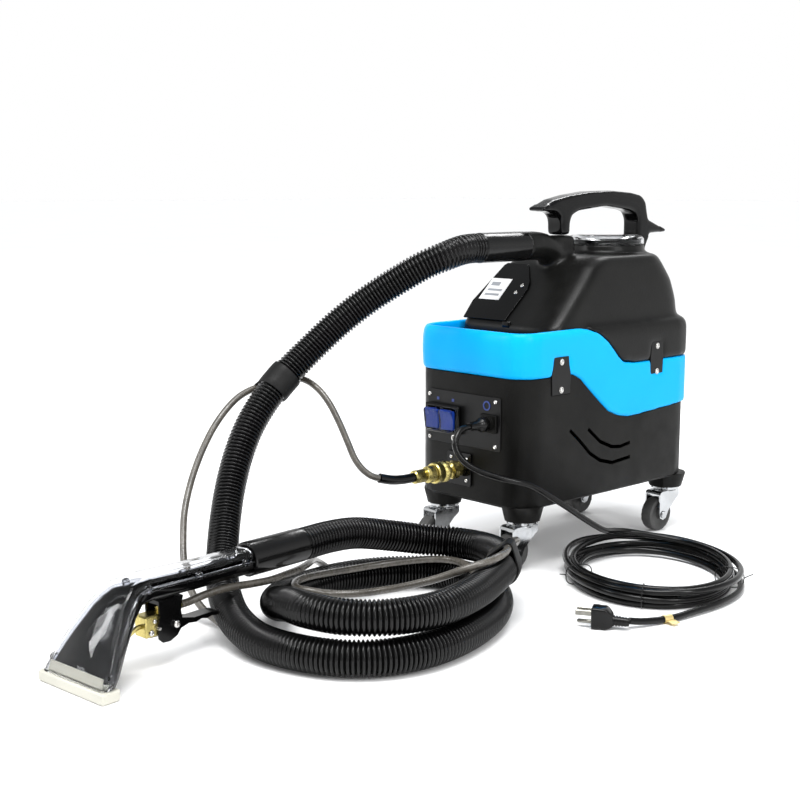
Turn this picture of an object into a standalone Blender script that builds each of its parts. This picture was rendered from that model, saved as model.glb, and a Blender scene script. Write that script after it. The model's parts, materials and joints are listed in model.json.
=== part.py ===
"""Portable heated carpet cleaner: a two-tank body on four casters, with its vacuum hose,
solution hose, hand wand and mains lead laid out on the floor.

Metres, +Z up. The machine faces -Y. MACHINE carries every piece, so that the whole
object is centred on the origin; pieces are placed in the machine's own frame.
"""

from math import cos, pi, radians, sin

import bmesh
import bpy
import numpy as np
from mathutils import Matrix, Vector

for item in list(bpy.data.objects):
    bpy.data.objects.remove(item)

GAP = 0.0003
MACHINE_AT = (-0.008, 0.315, 0.0)

# Tubs, seen from above: half width, front and rear faces, corner radii.
BASE_HALF, BASE_FRONT, BASE_REAR = 0.103, -0.196, 0.190
BASE_FLOOR, BASE_TOP, BASE_WALL = 0.086, 0.262, 0.004
TANK_HALF, TANK_FRONT, TANK_REAR, TANK_WALL = 0.105, -0.198, 0.193, 0.010
RIM_TOP = 0.325
FRONT_RADIUS, REAR_RADIUS = 0.037, 0.048
# Side view of the joint between base and solution tank, and of the tank's rim: (y, z).
JOINT_LINE = [
    (-0.095, 0.262), (-0.080, 0.255), (-0.058, 0.236), (-0.035, 0.217), (-0.017, 0.203),
    (0.006, 0.194), (0.029, 0.190), (0.057, 0.191), (0.105, 0.194), (0.154, 0.197),
]
RIM_LINE = [
    (-0.084, 0.3252), (-0.063, 0.322), (-0.041, 0.315), (-0.023, 0.304), (-0.007, 0.290),
    (0.005, 0.278), (0.016, 0.270), (0.044, 0.267),
]
SHELF_TOP = 0.325
RECOVERY_FLOOR = 0.276
NECK_Y, NECK_TOP, NECK_RADIUS, NECK_HOLE = 0.0995, 0.435, 0.0515, 0.046
INLET_Z, INLET_RADIUS, SPIGOT_RADIUS = 0.4325, 0.0205, 0.0165
# The recovery tank's sloping front, from its foot to its head: (y, z).
SLOPE_FOOT, SLOPE_HEAD = (-0.1155, 0.3266), (-0.033, 0.4051)

WHEEL_RADIUS, WHEEL_HALF, CASTER_TRAIL, CASTER_TOP = 0.0254, 0.0095, 0.020, 0.0667
# Each caster's swivel axis, and the bearing its wheel trails towards.
CASTERS = {
    "front_left": (-0.075, -0.163, 266.0),
    "front_right": (0.075, -0.163, 266.0),
    "rear_left": (-0.076, 0.160, 268.0),
    "rear_right": (0.076, 0.160, 268.0),
}

PANEL_Y = BASE_FRONT - GAP
PANEL_THICK = 0.0015
ROCKERS = {"rocker_vacuum": -0.053, "rocker_pump": -0.024}
ROCKER_Z, ROCKER_TILT = 0.197, 8.0
POWER_X, POWER_Z = 0.045, 0.200
COUPLER_X, COUPLER_Z = -0.0105, 0.130

VACUUM_HOSE_RADIUS, SOLUTION_HOSE_RADIUS, CORD_RADIUS = 0.020, 0.0045, 0.0042
WAND_AT, WAND_TURN, WAND_Z = (0.070, -0.839, 0.0), 5.5, 0.0905

VACUUM_ROUTE = [
    (0, -.1761, .4325), (0, -.188, .4325), (-.0008, -.208, .4305), (-.008, -.231, .423),
    (-.024, -.252, .412),
    (-.048, -.275, .393), (-.076, -.304, .367), (-.100, -.337, .336), (-.119, -.373, .300),
    (-.130, -.407, .268), (-.133, -.439, .237), (-.131, -.467, .205), (-.124, -.491, .170),
    (-.111, -.514, .133), (-.093, -.535, .100), (-.070, -.556, .073), (-.040, -.579, .051),
    (.003, -.606, .037), (.060, -.632, .0262), (.120, -.644, .0205), (.180, -.637, .0205),
    (.224, -.615, .0205), (.252, -.583, .0205), (.266, -.546, .0205), (.268, -.503, .0205),
    (.257, -.448, .0205), (.234, -.392, .0205), (.197, -.343, .0205), (.152, -.311, .0205),
    (.108, -.301, .0205), (.066, -.311, .0205), (.030, -.341, .0205), (.006, -.386, .0205),
    (-.004, -.436, .0205), (-.001, -.484, .0205), (.016, -.528, .0235), (.045, -.561, .030),
    (.085, -.588, .042), (.130, -.608, .056), (.175, -.618, .062), (.215, -.606, .062),
    (.245, -.580, .062), (.262, -.545, .062), (.267, -.505, .062), (.257, -.450, .063),
    (.238, -.398, .0655), (.207, -.343, .067), (.168, -.311, .066), (.127, -.299, .064),
    (.090, -.307, .064), (.061, -.333, .067), (.042, -.375, .076), (.033, -.4265, .087),
    (.0346, -.4712, .0905), (.0381, -.5079, .0905), (.03945, -.5204, .0905),
]
SOLUTION_ROUTE = [
    (-.0147, -.3444, .1373), (-.0172, -.3540, .1405), (-.0260, -.3620, .1490),
    (-.038, -.3655, .162), (-.052, -.3655, .182),
    (-.071, -.3655, .209), (-.090, -.3665, .232), (-.108, -.3695, .248), (-.1265, -.3750, .258),
    (-.1433, -.3845, .2608), (-.1535, -.3992, .2563), (-.1605, -.417, .2515), (-.165, -.437, .2475),
    (-.166, -.462, .237), (-.161, -.500, .207), (-.150, -.538, .161), (-.127, -.572, .115),
    (-.1016, -.593, .084), (-.0851, -.604, .065), (-.066, -.614, .047), (-.046, -.619, .032),
    (-.024, -.621, .0195), (-.004, -.619, .011), (.016, -.618, .006), (.038, -.618, .0052),
    (.062, -.613, .005), (.085, -.601, .005), (.112, -.588, .005), (.145, -.582, .005),
    (.180, -.575, .005), (.212, -.555, .005), (.230, -.522, .005), (.231, -.480, .005),
    (.218, -.432, .006), (.203, -.398, .012), (.188, -.373, .024), (.171, -.352, .038),
    (.146, -.335, .046), (.112, -.325, .047), (.079, -.332, .0445), (.056, -.355, .042),
    (.0375, -.389, .040), (.0255, -.430, .039), (.020, -.4716, .040), (.0255, -.503, .0425),
    (.0375, -.5265, .0445), (.055, -.5385, .044), (.0735, -.530, .042), (.085, -.508, .037),
    (.105, -.484, .037), (.135, -.471, .045), (.170, -.465, .057), (.206, -.455, .071),
    (.234, -.437, .0850), (.246, -.405, .0920), (.236, -.371, .0928), (.214, -.341, .0925),
    (.188, -.2985, .0845), (.160, -.276, .067), (.128, -.259, .044), (.092, -.253, .018),
    (.056, -.260, .0065), (.018, -.284, .005), (-.012, -.318, .005), (-.030, -.360, .006),
    (-.037, -.402, .018), (-.029, -.434, .037), (-.010, -.460, .0495), (.012, -.486, .0545),
    (.030, -.515, .057), (.044, -.548, .0595), (.056, -.580, .062), (.061, -.612, .065),
    (.060, -.645, .067), (.0577, -.675, .0640), (.0560, -.6930, .0602), (.0570, -.7040, .0600),
]
CORD_ROUTE = [
    (.045, -.2371, .200), (.045, -.2450, .200), (.0455, -.256, .196), (.050, -.268, .180),
    (.060, -.265, .162), (.078, -.250, .147), (.100, -.228, .137), (.118, -.200, .128), (.128, -.170, .110),
    (.134, -.135, .088), (.137, -.100, .066), (.139, -.065, .047), (.134, -.035, .040),
    (.137, -.008, .0345), (.150, .020, .0328),
]
COIL_AT, COIL_TURN = (0.2274, -0.0778, 0.0), 47.08
COIL_OUTER, COIL_INNER, COIL_HEIGHT, COIL_STRETCH = 0.121, 0.079, 0.028, 1.27


def new_collection(name):
    made = bpy.data.collections.new(name)
    bpy.context.scene.collection.children.link(made)
    return made


PARTS, CUTTERS = new_collection("carpet_cleaner"), new_collection("cutters")


def new_empty(name, at=(0, 0, 0), turn=0.0, parent=None):
    empty = bpy.data.objects.new(name, None)
    PARTS.objects.link(empty)
    empty.empty_display_size = 0.05
    empty.parent = parent
    empty.location = at
    empty.rotation_euler = (0, 0, radians(turn))
    return empty


MACHINE = new_empty("machine_frame", MACHINE_AT)
WAND = new_empty("wand_frame", WAND_AT, WAND_TURN, MACHINE)


def material(name, colour, rough, metal=0.0, clear=0.0):
    made = bpy.data.materials.new(name)
    made.use_nodes = True
    shader = made.node_tree.nodes["Principled BSDF"]
    shader.inputs["Base Color"].default_value = (*colour, 1)
    shader.inputs["Roughness"].default_value = rough
    shader.inputs["Metallic"].default_value = metal
    shader.inputs["Transmission Weight"].default_value = clear
    return made


BLACK_SHELL = ((0.018, 0.018, 0.019), 0.6)
BLACK_GLOSS = ((0.012, 0.012, 0.013), 0.2)
BLACK_PLATE = ((0.02, 0.02, 0.021), 0.4, 0.3)
BLUE = ((0.0, 0.48, 0.95), 0.35)
CLEAR = ((0.85, 0.87, 0.88), 0.06, 0.0, 0.9)
RUBBER = ((0.02, 0.02, 0.02), 0.75)
GREY_TYRE = ((0.10, 0.10, 0.10), 0.7)
GREY_HOSE = ((0.30, 0.29, 0.27), 0.5)
ZINC = ((0.72, 0.72, 0.74), 0.28, 1.0)
BRASS = ((0.78, 0.60, 0.26), 0.3, 1.0)
WHITE = ((0.85, 0.84, 0.78), 0.4)


def own(obj, name, finish=None, parent=MACHINE):
    """Files an object as a part with its own material or, with no finish, as a cutter."""
    for collection in list(obj.users_collection):
        collection.objects.unlink(obj)
    obj.name = name
    if parent and obj.parent is None:
        obj.parent = parent
    if finish:
        PARTS.objects.link(obj)
        obj.data.materials.clear()
        obj.data.materials.append(material(name, *finish))
    else:
        CUTTERS.objects.link(obj)
        obj.hide_render = True
        obj.display_type = "WIRE"
    return obj


def from_bmesh(mesh, name, finish, at=(0, 0, 0), parent=MACHINE):
    bmesh.ops.recalc_face_normals(mesh, faces=mesh.faces)
    data = bpy.data.meshes.new(name)
    mesh.to_mesh(data)
    mesh.free()
    obj = bpy.data.objects.new(name, data)
    bpy.context.scene.collection.objects.link(obj)
    own(obj, name, finish, parent)
    obj.location = at
    return obj


def bevel(obj, width, steps=2, angle=35):
    edge = obj.modifiers.new("bevel", "BEVEL")
    edge.width, edge.segments = width, steps
    edge.limit_method, edge.angle_limit = "ANGLE", radians(angle)
    return obj


def block(name, low, high, finish=None, edge=0.0, steps=1, parent=MACHINE):
    """A box between two corners, with its origin at its middle."""
    low, high = Vector(low), Vector(high)
    mesh = bmesh.new()
    bmesh.ops.create_cube(mesh, size=1)
    bmesh.ops.scale(mesh, vec=high - low, verts=mesh.verts)
    obj = from_bmesh(mesh, name, finish, (low + high) / 2, parent)
    return bevel(obj, edge, steps) if edge else obj


def lay_along(obj, axis, turn=0.0):
    """Turns an object built about +Z so that its length runs along another axis."""
    quarter = {"Z": (0, 0, turn), "Y": (-pi / 2, 0, 0), "X": (0, pi / 2, 0)}
    obj.rotation_euler = quarter[axis]
    return obj


def cylinder(name, radius, length, middle, finish=None, axis="Z", sides=24, parent=MACHINE):
    mesh = bmesh.new()
    bmesh.ops.create_cone(
        mesh, cap_ends=True, segments=sides, radius1=radius, radius2=radius, depth=length
    )
    return lay_along(from_bmesh(mesh, name, finish, middle, parent), axis)


def turned(name, profile, at, finish=None, axis="Z", sides=32, parent=MACHINE):
    """A closed outline of (radius, height), taken down its outer side, turned round +Z."""
    mesh = bpy.data.meshes.new(name)
    points = [(r, 0.0, z) for r, z in profile]
    edges = [(i, i + 1) for i in range(len(points) - 1)]
    if profile[0][0] > 0 or profile[-1][0] > 0:
        edges.append((len(points) - 1, 0))
    mesh.from_pydata(points, edges, [])
    obj = bpy.data.objects.new(name, mesh)
    bpy.context.scene.collection.objects.link(obj)
    own(obj, name, finish, parent)
    obj.location = at
    screw = obj.modifiers.new("turn", "SCREW")
    screw.steps = screw.render_steps = sides
    screw.use_merge_vertices, screw.merge_threshold = True, 0.00005
    return lay_along(obj, axis)


def flat_mesh(name, outlines, low, high):
    """Flat outlines filled and raised from low to high along +Z, as mesh data."""
    curve = bpy.data.curves.new(name, "CURVE")
    curve.dimensions, curve.fill_mode = "2D", "BOTH"
    curve.extrude = (high - low) / 2
    for outline in outlines:
        spline = curve.splines.new("POLY")
        spline.points.add(len(outline) - 1)
        for point, (a, b) in zip(spline.points, outline):
            point.co = (a, b, 0, 1)
        spline.use_cyclic_u = True
    shape = bpy.data.objects.new(name + "_outline", curve)
    bpy.context.scene.collection.objects.link(shape)
    bpy.context.view_layer.update()
    data = bpy.data.meshes.new_from_object(shape)
    bpy.data.objects.remove(shape)
    bpy.data.curves.remove(curve)
    mesh = bmesh.new()
    mesh.from_mesh(data)
    bpy.data.meshes.remove(data)
    bmesh.ops.remove_doubles(mesh, verts=mesh.verts, dist=1e-6)
    bmesh.ops.translate(mesh, vec=(0, 0, (low + high) / 2), verts=mesh.verts)
    return mesh


# Each plane's outline axes (a, b) and its depth axis as columns of a turn.
PLANES = {
    "XY": Matrix(((1, 0, 0), (0, 1, 0), (0, 0, 1))),
    "YZ": Matrix(((0, 0, 1), (1, 0, 0), (0, 1, 0))),
    "XZ": Matrix(((1, 0, 0), (0, 0, -1), (0, 1, 0))),
}


def extruded(name, outline, low, high, plane="XY", finish=None, at=(0, 0, 0), holes=(),
             parent=MACHINE, turn=None):
    """An outline in one plane given depth. XZ outlines run from low to high along -Y."""
    mesh = flat_mesh(name, [outline, *holes], low, high)
    matrix = (turn or PLANES[plane]).to_4x4()
    bmesh.ops.transform(mesh, matrix=matrix, verts=mesh.verts)
    return from_bmesh(mesh, name, finish, at, parent)


def rounded_rectangle(half, front, rear, front_radius, rear_radius, steps=4):
    """Plan outline of a tub: (x, y), counter-clockwise."""
    corners = [
        (half - rear_radius, rear - rear_radius, rear_radius, 0),
        (rear_radius - half, rear - rear_radius, rear_radius, 90),
        (front_radius - half, front + front_radius, front_radius, 180),
        (half - front_radius, front + front_radius, front_radius, 270),
    ]
    return [
        (x + r * cos(radians(start + 90 * i / steps)), y + r * sin(radians(start + 90 * i / steps)))
        for x, y, r, start in corners
        for i in range(steps + 1)
    ]


def loft(name, rings, finish=None, at=(0, 0, 0), parent=MACHINE):
    """A closed skin through rings of points, each with the same number of points."""
    mesh = bmesh.new()
    rows = [[mesh.verts.new(point) for point in ring] for ring in rings]
    count = len(rows[0])
    for below, above in zip(rows, rows[1:]):
        for i in range(count):
            j = (i + 1) % count
            mesh.faces.new((below[i], below[j], above[j], above[i]))
    mesh.faces.new(rows[0][::-1])
    mesh.faces.new(rows[-1])
    return from_bmesh(mesh, name, finish, at, parent)


def tub(name, levels, finish=None, steps=4):
    """A loft of plan outlines: each level is z, then the outline's five sizes."""
    return loft(
        name,
        [[(x, y, z) for x, y in rounded_rectangle(*sizes, steps)] for z, *sizes in levels],
        finish,
    )


def smooth_route(points, step, lead=0.0):
    """A centripetal curve through the points, read at even steps along it. A lead keeps
    that much of each end straight along the route's end legs."""
    points = np.array(points, float)
    ends = np.vstack([2 * points[0] - points[1], points, 2 * points[-1] - points[-2]])
    fine = []
    for a, b, c, d in zip(ends, ends[1:], ends[2:], ends[3:]):
        t = np.cumsum([0] + [np.linalg.norm(q - p) ** 0.5 for p, q in ((a, b), (b, c), (c, d))])
        for u in np.linspace(t[1], t[2], 12, endpoint=False):
            ab, bc, cd = (
                ((t[i + 1] - u) * p + (u - t[i]) * q) / (t[i + 1] - t[i])
                for i, p, q in ((0, a, b), (1, b, c), (2, c, d))
            )
            abc = ((t[2] - u) * ab + (u - t[0]) * bc) / (t[2] - t[0])
            bcd = ((t[3] - u) * bc + (u - t[1]) * cd) / (t[3] - t[1])
            fine.append(((t[2] - u) * abc + (u - t[1]) * bcd) / (t[2] - t[1]))
    fine = np.array([*fine, points[-1]])
    along = np.r_[0, np.cumsum(np.linalg.norm(np.diff(fine, axis=0), axis=1))]
    places = np.linspace(0, along[-1], max(2, round(along[-1] / step)) + 1)
    line = np.stack([np.interp(places, along, fine[:, i]) for i in range(3)], axis=1)
    if lead:
        first, last = points[1] - points[0], points[-2] - points[-1]
        first, last = (lead * v / np.linalg.norm(v) for v in (first, last))
        line = np.array([line[0], line[0] + first, *line[1:-1], line[-1] + last, line[-1]])
    return line


def tube(name, points, radius, finish=None, roundness=3, parent=MACHINE):
    """A round solid along a line of points."""
    curve = bpy.data.curves.new(name, "CURVE")
    curve.dimensions, curve.bevel_depth, curve.bevel_resolution = "3D", radius, roundness
    curve.use_fill_caps = True
    spline = curve.splines.new("POLY")
    spline.points.add(len(points) - 1)
    for point, place in zip(spline.points, points):
        point.co = (*place, 1)
    line = bpy.data.objects.new(name + "_line", curve)
    bpy.context.scene.collection.objects.link(line)
    bpy.context.view_layer.update()
    data = bpy.data.meshes.new_from_object(line)
    bpy.data.objects.remove(line)
    bpy.data.curves.remove(curve)
    mesh = bmesh.new()
    mesh.from_mesh(data)
    bpy.data.meshes.remove(data)
    bmesh.ops.remove_doubles(mesh, verts=mesh.verts, dist=1e-6)
    return from_bmesh(mesh, name, finish, parent=parent)


def combine(obj, how, *others):
    for other in others:
        step = obj.modifiers.new(other.name, "BOOLEAN")
        step.operation, step.solver, step.object = how, "EXACT", other
    return obj


def cut(obj, *others):
    return combine(obj, "DIFFERENCE", *others)


def join(obj, *others):
    return combine(obj, "UNION", *others)


def keep(obj, *others):
    return combine(obj, "INTERSECT", *others)


# ---------------------------------------------------------------- base and its contents
def lifted(line, rise):
    return [(y, z + rise) for y, z in line]


def slot_outline(line, half_width):
    """A band of even width along a line of (y, z)."""
    places = [Vector(p) for p in line]
    sides = []
    for i, place in enumerate(places):
        run = (places[min(i + 1, len(places) - 1)] - places[max(i - 1, 0)]).normalized()
        across = Vector((-run.y, run.x)) * half_width
        sides.append((place + across, place - across))
    return [tuple(a) for a, _ in sides] + [tuple(b) for _, b in reversed(sides)]


VENTS = [
    [(-0.060, 0.183), (-0.033, 0.162), (-0.006, 0.151), (0.013, 0.149), (0.035, 0.152)],
    [(-0.099, 0.186), (-0.077, 0.168), (-0.055, 0.148), (-0.032, 0.135), (-0.005, 0.128),
     (0.036, 0.131)],
]
# Tie plates: centre y, then (half width, z) from the top down, and their two screws' z.
FRONT_TIE = (-0.1205, [(0.015, 0.289), (0.0165, 0.276), (0.0195, 0.265), (0.018, 0.238)])
REAR_TIE = (0.092, [(0.013, 0.293), (0.014, 0.280), (0.015, 0.270), (0.014, 0.247)])
POCKET_X, TIE_THICK = 0.1020, 0.0020


def tie_outline(tie, grow=0.0):
    middle, widths = tie
    right = [(middle + half + grow, z) for half, z in widths]
    left = [(middle - half - grow, z) for half, z in reversed(widths)]
    outline = right + left
    top, bottom = widths[0][1], widths[-1][1]
    return [(y, z + grow * (z == top) - grow * (z == bottom)) for y, z in outline]


def side_cutters(name, outline, depth_from, depth_to):
    """The same side-view outline cut into both sides of the machine."""
    return [
        extruded(f"{name}_right", outline, depth_from, depth_to, "YZ"),
        extruded(f"{name}_left", outline, -depth_to, -depth_from, "YZ"),
    ]


base_outline = (BASE_HALF, BASE_FRONT, BASE_REAR, FRONT_RADIUS, REAR_RADIUS)
shrink = 0.004
base_shell = tub(
    "base_shell",
    [
        (BASE_FLOOR, BASE_HALF - shrink, BASE_FRONT + shrink, BASE_REAR - shrink, 0.033, 0.044),
        (BASE_FLOOR + shrink, *base_outline),
        (BASE_TOP + 0.005, *base_outline),
    ],
    BLACK_SHELL,
)
above_joint = extruded(
    "above_joint",
    [(-0.25, BASE_TOP), *JOINT_LINE, (0.25, 0.198), (0.25, 0.30), (-0.25, 0.30)],
    -0.13, 0.13, "YZ",
)
base_room = tub(
    "base_room",
    [
        (z, BASE_HALF - BASE_WALL, BASE_FRONT + BASE_WALL, BASE_REAR - BASE_WALL, 0.033, 0.044)
        for z in (BASE_FLOOR + BASE_WALL, 0.29)
    ],
)
for corner, (x, y, _) in CASTERS.items():
    mesh = bmesh.new()
    bmesh.ops.create_cone(
        mesh, cap_ends=True, segments=12, radius1=0.0245, radius2=0.030, depth=0.021
    )
    join(base_shell, from_bmesh(mesh, f"post_{corner}", None, (x, y, CASTER_TOP + 0.0107)))
cut(base_shell, above_joint, base_room)
for number, line in enumerate(VENTS):
    cut(base_shell, *side_cutters(f"vent_{number}", slot_outline(line, 0.0026), 0.09, 0.12))
front_pockets = side_cutters("front_tie_pocket", tie_outline(FRONT_TIE, 0.001), POCKET_X, 0.12)
cut(base_shell, *front_pockets)

vacuum_motor = turned(
    "vacuum_motor",
    [
        (0.0, 0.205), (0.020, 0.205), (0.024, 0.196), (0.043, 0.192), (0.045, 0.160),
        (0.062, 0.156), (0.062, 0.118), (0.050, 0.113), (0.048, 0.0903), (0.0, 0.0903),
    ],
    (0.0, -0.100, 0.0), ((0.12, 0.12, 0.13), 0.5), sides=18,
)
solution_pump = join(
    block("solution_pump", (0.030, 0.080, 0.0903), (0.078, 0.160, 0.142), BLACK_SHELL, 0.003),
    cylinder("pump_motor", 0.020, 0.060, (0.054, 0.066, 0.117), axis="Y", sides=20),
)
heater = turned(
    "heater",
    [(0.0, 0.085), (0.012, 0.085), (0.022, 0.077), (0.022, -0.077), (0.012, -0.085), (0.0, -0.085)],
    (-0.052, 0.080, 0.1125), ZINC, "Y", 20,
)

# ---------------------------------------------------------------- solution tank
solution_tank = tub(
    "solution_tank",
    [
        (0.180, TANK_HALF, TANK_FRONT, TANK_REAR, 0.036, 0.045),
        (0.262, TANK_HALF, TANK_FRONT, TANK_REAR, 0.036, 0.045),
        (0.276, TANK_HALF, TANK_FRONT - 0.0012, TANK_REAR, 0.036, 0.045),
        (0.292, TANK_HALF, TANK_FRONT - 0.0020, TANK_REAR, 0.036, 0.045),
        (0.308, TANK_HALF, TANK_FRONT - 0.0010, TANK_REAR, 0.036, 0.045),
        (0.3165, TANK_HALF, TANK_FRONT + 0.0005, TANK_REAR, 0.036, 0.045),
        (0.3225, TANK_HALF - 0.0025, TANK_FRONT + 0.003, TANK_REAR - 0.0025, 0.034, 0.042),
        (RIM_TOP, TANK_HALF - 0.006, TANK_FRONT + 0.0065, TANK_REAR - 0.006, 0.031, 0.039),
    ],
    BLUE,
)
tank_side = extruded(
    "tank_side",
    [
        (-0.25, BASE_TOP + GAP), *lifted(JOINT_LINE, GAP), (0.25, 0.198 + GAP),
        (0.25, 0.268), *reversed(RIM_LINE), (-0.25, 0.330),
    ],
    -0.13, 0.13, "YZ",
)
tank_room = tub(
    "tank_room",
    [
        (z, TANK_HALF - TANK_WALL, TANK_FRONT + TANK_WALL, TANK_REAR - TANK_WALL, 0.026, 0.035)
        for z in (0.15, 0.36)
    ],
)
tank_room_side = extruded(
    "tank_room_side",
    [
        (-0.24, BASE_TOP + 0.005), *lifted(JOINT_LINE, 0.0055), (0.24, 0.2035), (0.24, 0.35),
        (-0.24, 0.35),
    ],
    -0.12, 0.12, "YZ",
)
keep(tank_room, tank_room_side)
keep(solution_tank, tank_side)
cut(solution_tank, tank_room, *front_pockets)
rear_pockets = side_cutters("rear_tie_pocket", tie_outline(REAR_TIE, 0.001), POCKET_X, 0.12)
cut(solution_tank, *rear_pockets)

# ---------------------------------------------------------------- recovery tank
BODY_FRONT, BODY_FRONT_RADIUS = -0.1195, 0.020
recovery_tank = tub(
    "recovery_tank",
    [
        (0.272, 0.092, BODY_FRONT, 0.180, BODY_FRONT_RADIUS, 0.045),
        (0.3215, 0.092, BODY_FRONT, 0.184, BODY_FRONT_RADIUS, 0.045),
        (SLOPE_FOOT[1], 0.0918, SLOPE_FOOT[0], 0.184, BODY_FRONT_RADIUS, 0.045),
        (0.352, 0.090, -0.0888, 0.1815, BODY_FRONT_RADIUS, 0.045),
        (0.380, 0.087, -0.0594, 0.172, BODY_FRONT_RADIUS, 0.044),
        (SLOPE_HEAD[1], 0.082, SLOPE_HEAD[0], 0.1555, BODY_FRONT_RADIUS, 0.043),
        (0.4135, 0.078, -0.0200, 0.151, 0.024, 0.042),
        (0.4180, 0.072, -0.0080, 0.145, 0.026, 0.040),
    ],
    BLACK_SHELL,
    5,
)
shelf = tub(
    "shelf",
    [
        (0.255, TANK_HALF, -0.060, 0.1934, 0.004, 0.045),
        (0.3130, TANK_HALF, -0.060, 0.1934, 0.004, 0.045),
        (0.3200, TANK_HALF - 0.0025, -0.0575, 0.1909, 0.004, 0.0425),
        (0.3240, TANK_HALF - 0.0075, -0.0525, 0.1859, 0.004, 0.0375),
        (SHELF_TOP, TANK_HALF - 0.0115, -0.0485, 0.1819, 0.004, 0.034),
    ],
)
above_rim = extruded(
    "above_rim",
    [*lifted(RIM_LINE, GAP), (0.25, 0.268 + GAP), (0.25, 0.34), (-0.0839, 0.34)],
    -0.13, 0.13, "YZ",
)
keep(shelf, above_rim)
recovery_room = tub(
    "recovery_room",
    [
        (RECOVERY_FLOOR, 0.088, BODY_FRONT + 0.004, 0.176, 0.016, 0.041),
        (0.3240, 0.088, BODY_FRONT + 0.004, 0.180, 0.016, 0.041),
        (0.352, 0.086, -0.0830, 0.1775, 0.016, 0.041),
        (0.380, 0.083, -0.0536, 0.168, 0.016, 0.040),
        (0.4010, 0.078, -0.0290, 0.153, 0.018, 0.039),
        (0.4135, 0.070, -0.0080, 0.141, 0.022, 0.037),
    ],
    steps=5,
)
neck = turned(
    "neck",
    [
        (0.0, NECK_TOP), (NECK_RADIUS, NECK_TOP), (NECK_RADIUS, 0.4300), (0.0560, 0.4300),
        (0.0565, 0.4285), (0.0565, 0.4100), (0.0, 0.4100),
    ],
    (0.0, NECK_Y, 0.0), sides=28,
)
neck_hole = cylinder("neck_hole", NECK_HOLE, 0.040, (0.0, NECK_Y, 0.420), sides=28)
INLET_LINE = [
    (0, -0.0850, INLET_Z), (0, -0.0600, INLET_Z), (0, -0.0480, 0.4310), (0, -0.0360, 0.4265),
    (0, -0.0250, 0.4190), (0, -0.0160, 0.4090), (0, -0.0105, 0.3960),
]
inlet = tube("inlet", INLET_LINE, INLET_RADIUS, roundness=5)
spigot = cylinder("spigot", SPIGOT_RADIUS, 0.040, (0, -0.095, INLET_Z), axis="Y", sides=20)
inlet_bore = tube(
    "inlet_bore",
    [(0, -0.1250, INLET_Z), *INLET_LINE[:-1], (0, -0.0105, 0.3880)],
    0.0135, roundness=4,
)
front_foot = block("front_foot", (-0.016, -0.029, 0.400), (0.016, 0.012, 0.446), edge=0.003)
rear_foot = block("rear_foot", (-0.0175, 0.140, 0.360), (0.0175, 0.1765, 0.405), edge=0.003)
join(recovery_tank, shelf, neck, inlet, spigot, front_foot, rear_foot)
cut(recovery_tank, recovery_room, neck_hole, inlet_bore, *rear_pockets)

recovery_lid = turned(
    "recovery_lid",
    [
        (0.0, 0.0140), (0.0475, 0.0140), (0.0535, 0.0122), (0.0555, 0.0092), (0.0555, 0.0),
        (0.0525, 0.0), (0.0525, 0.0072), (0.0425, 0.0072), (0.0405, 0.0105), (0.0, 0.0105),
    ],
    (0.0, NECK_Y, 0.4305), CLEAR, sides=28,
)
STANDPIPE_Y = 0.040
standpipe = turned(
    "standpipe",
    [
        (0.0, 0.400), (0.016, 0.400), (0.016, 0.392), (0.011, 0.392), (0.011, 0.330),
        (0.016, 0.330), (0.016, 0.324), (0.011, 0.324), (0.013, 0.2763), (0.0, 0.2763),
    ],
    (0.0, STANDPIPE_Y, 0.0), ((0.75, 0.75, 0.73), 0.4), sides=16,
)
shutoff_float = turned(
    "shutoff_float",
    [(0.022, 0.028), (0.025, 0.024), (0.025, 0.004), (0.022, 0.0), (0.0118, 0.0), (0.0118, 0.028)],
    (0.0, STANDPIPE_Y, 0.3304), WHITE, sides=16,
)

# ---------------------------------------------------------------- handle and front cover
HANDLE_HALF = 0.0155
carry_handle = bevel(
    extruded(
        "carry_handle",
        [
            (-0.0180, 0.4463), (-0.0200, 0.4700), (-0.0300, 0.4780), (-0.0580, 0.4810),
            (-0.0590, 0.4850), (-0.0290, 0.4970), (0.0030, 0.5030), (0.0480, 0.5080),
            (0.0940, 0.5090), (0.1420, 0.5060), (0.1650, 0.5020), (0.1760, 0.4930),
            (0.1830, 0.4660), (0.2270, 0.4500), (0.2260, 0.4460), (0.1870, 0.4440),
            (0.1760, 0.4250), (0.1750, 0.4053), (0.1570, 0.4053), (0.1570, 0.4650),
            (0.1500, 0.4760), (0.1360, 0.4800), (0.0830, 0.4860), (0.0600, 0.4840),
            (0.0200, 0.4800), (0.0050, 0.4740), (0.0, 0.4640), (0.0, 0.4463),
        ],
        -HANDLE_HALF, HANDLE_HALF, "YZ", BLACK_GLOSS,
    ),
    0.0035, 2, 50,
)
slope_run = Vector((0, SLOPE_HEAD[0] - SLOPE_FOOT[0], SLOPE_HEAD[1] - SLOPE_FOOT[1])).normalized()
slope_face = Vector((0, -slope_run.z, slope_run.y))
slope_frame = Matrix(((1, 0, 0), (0, slope_run.y, slope_face.y), (0, slope_run.z, slope_face.z)))
front_cover = extruded(
    "front_cover",
    [
        (-0.0860, 0.0020), (-0.0055, 0.0020), (-0.0035, 0.0400), (-0.0030, 0.0640),
        (-0.0070, 0.0760), (-0.0300, 0.1080), (-0.0370, 0.1105), (-0.0720, 0.1105),
        (-0.0760, 0.1060), (-0.0900, 0.0340),
    ],
    GAP, 0.0025, finish=BLACK_GLOSS, at=(0, *SLOPE_FOOT), turn=slope_frame,
)
for place, tie in (("front", FRONT_TIE), ("rear", REAR_TIE)):
    for side, low in (("right", POCKET_X + GAP), ("left", -POCKET_X - GAP - TIE_THICK)):
        extruded(
            f"tie_plate_{place}_{side}", tie_outline(tie), low, low + TIE_THICK, "YZ", BLACK_PLATE
        )

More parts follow.
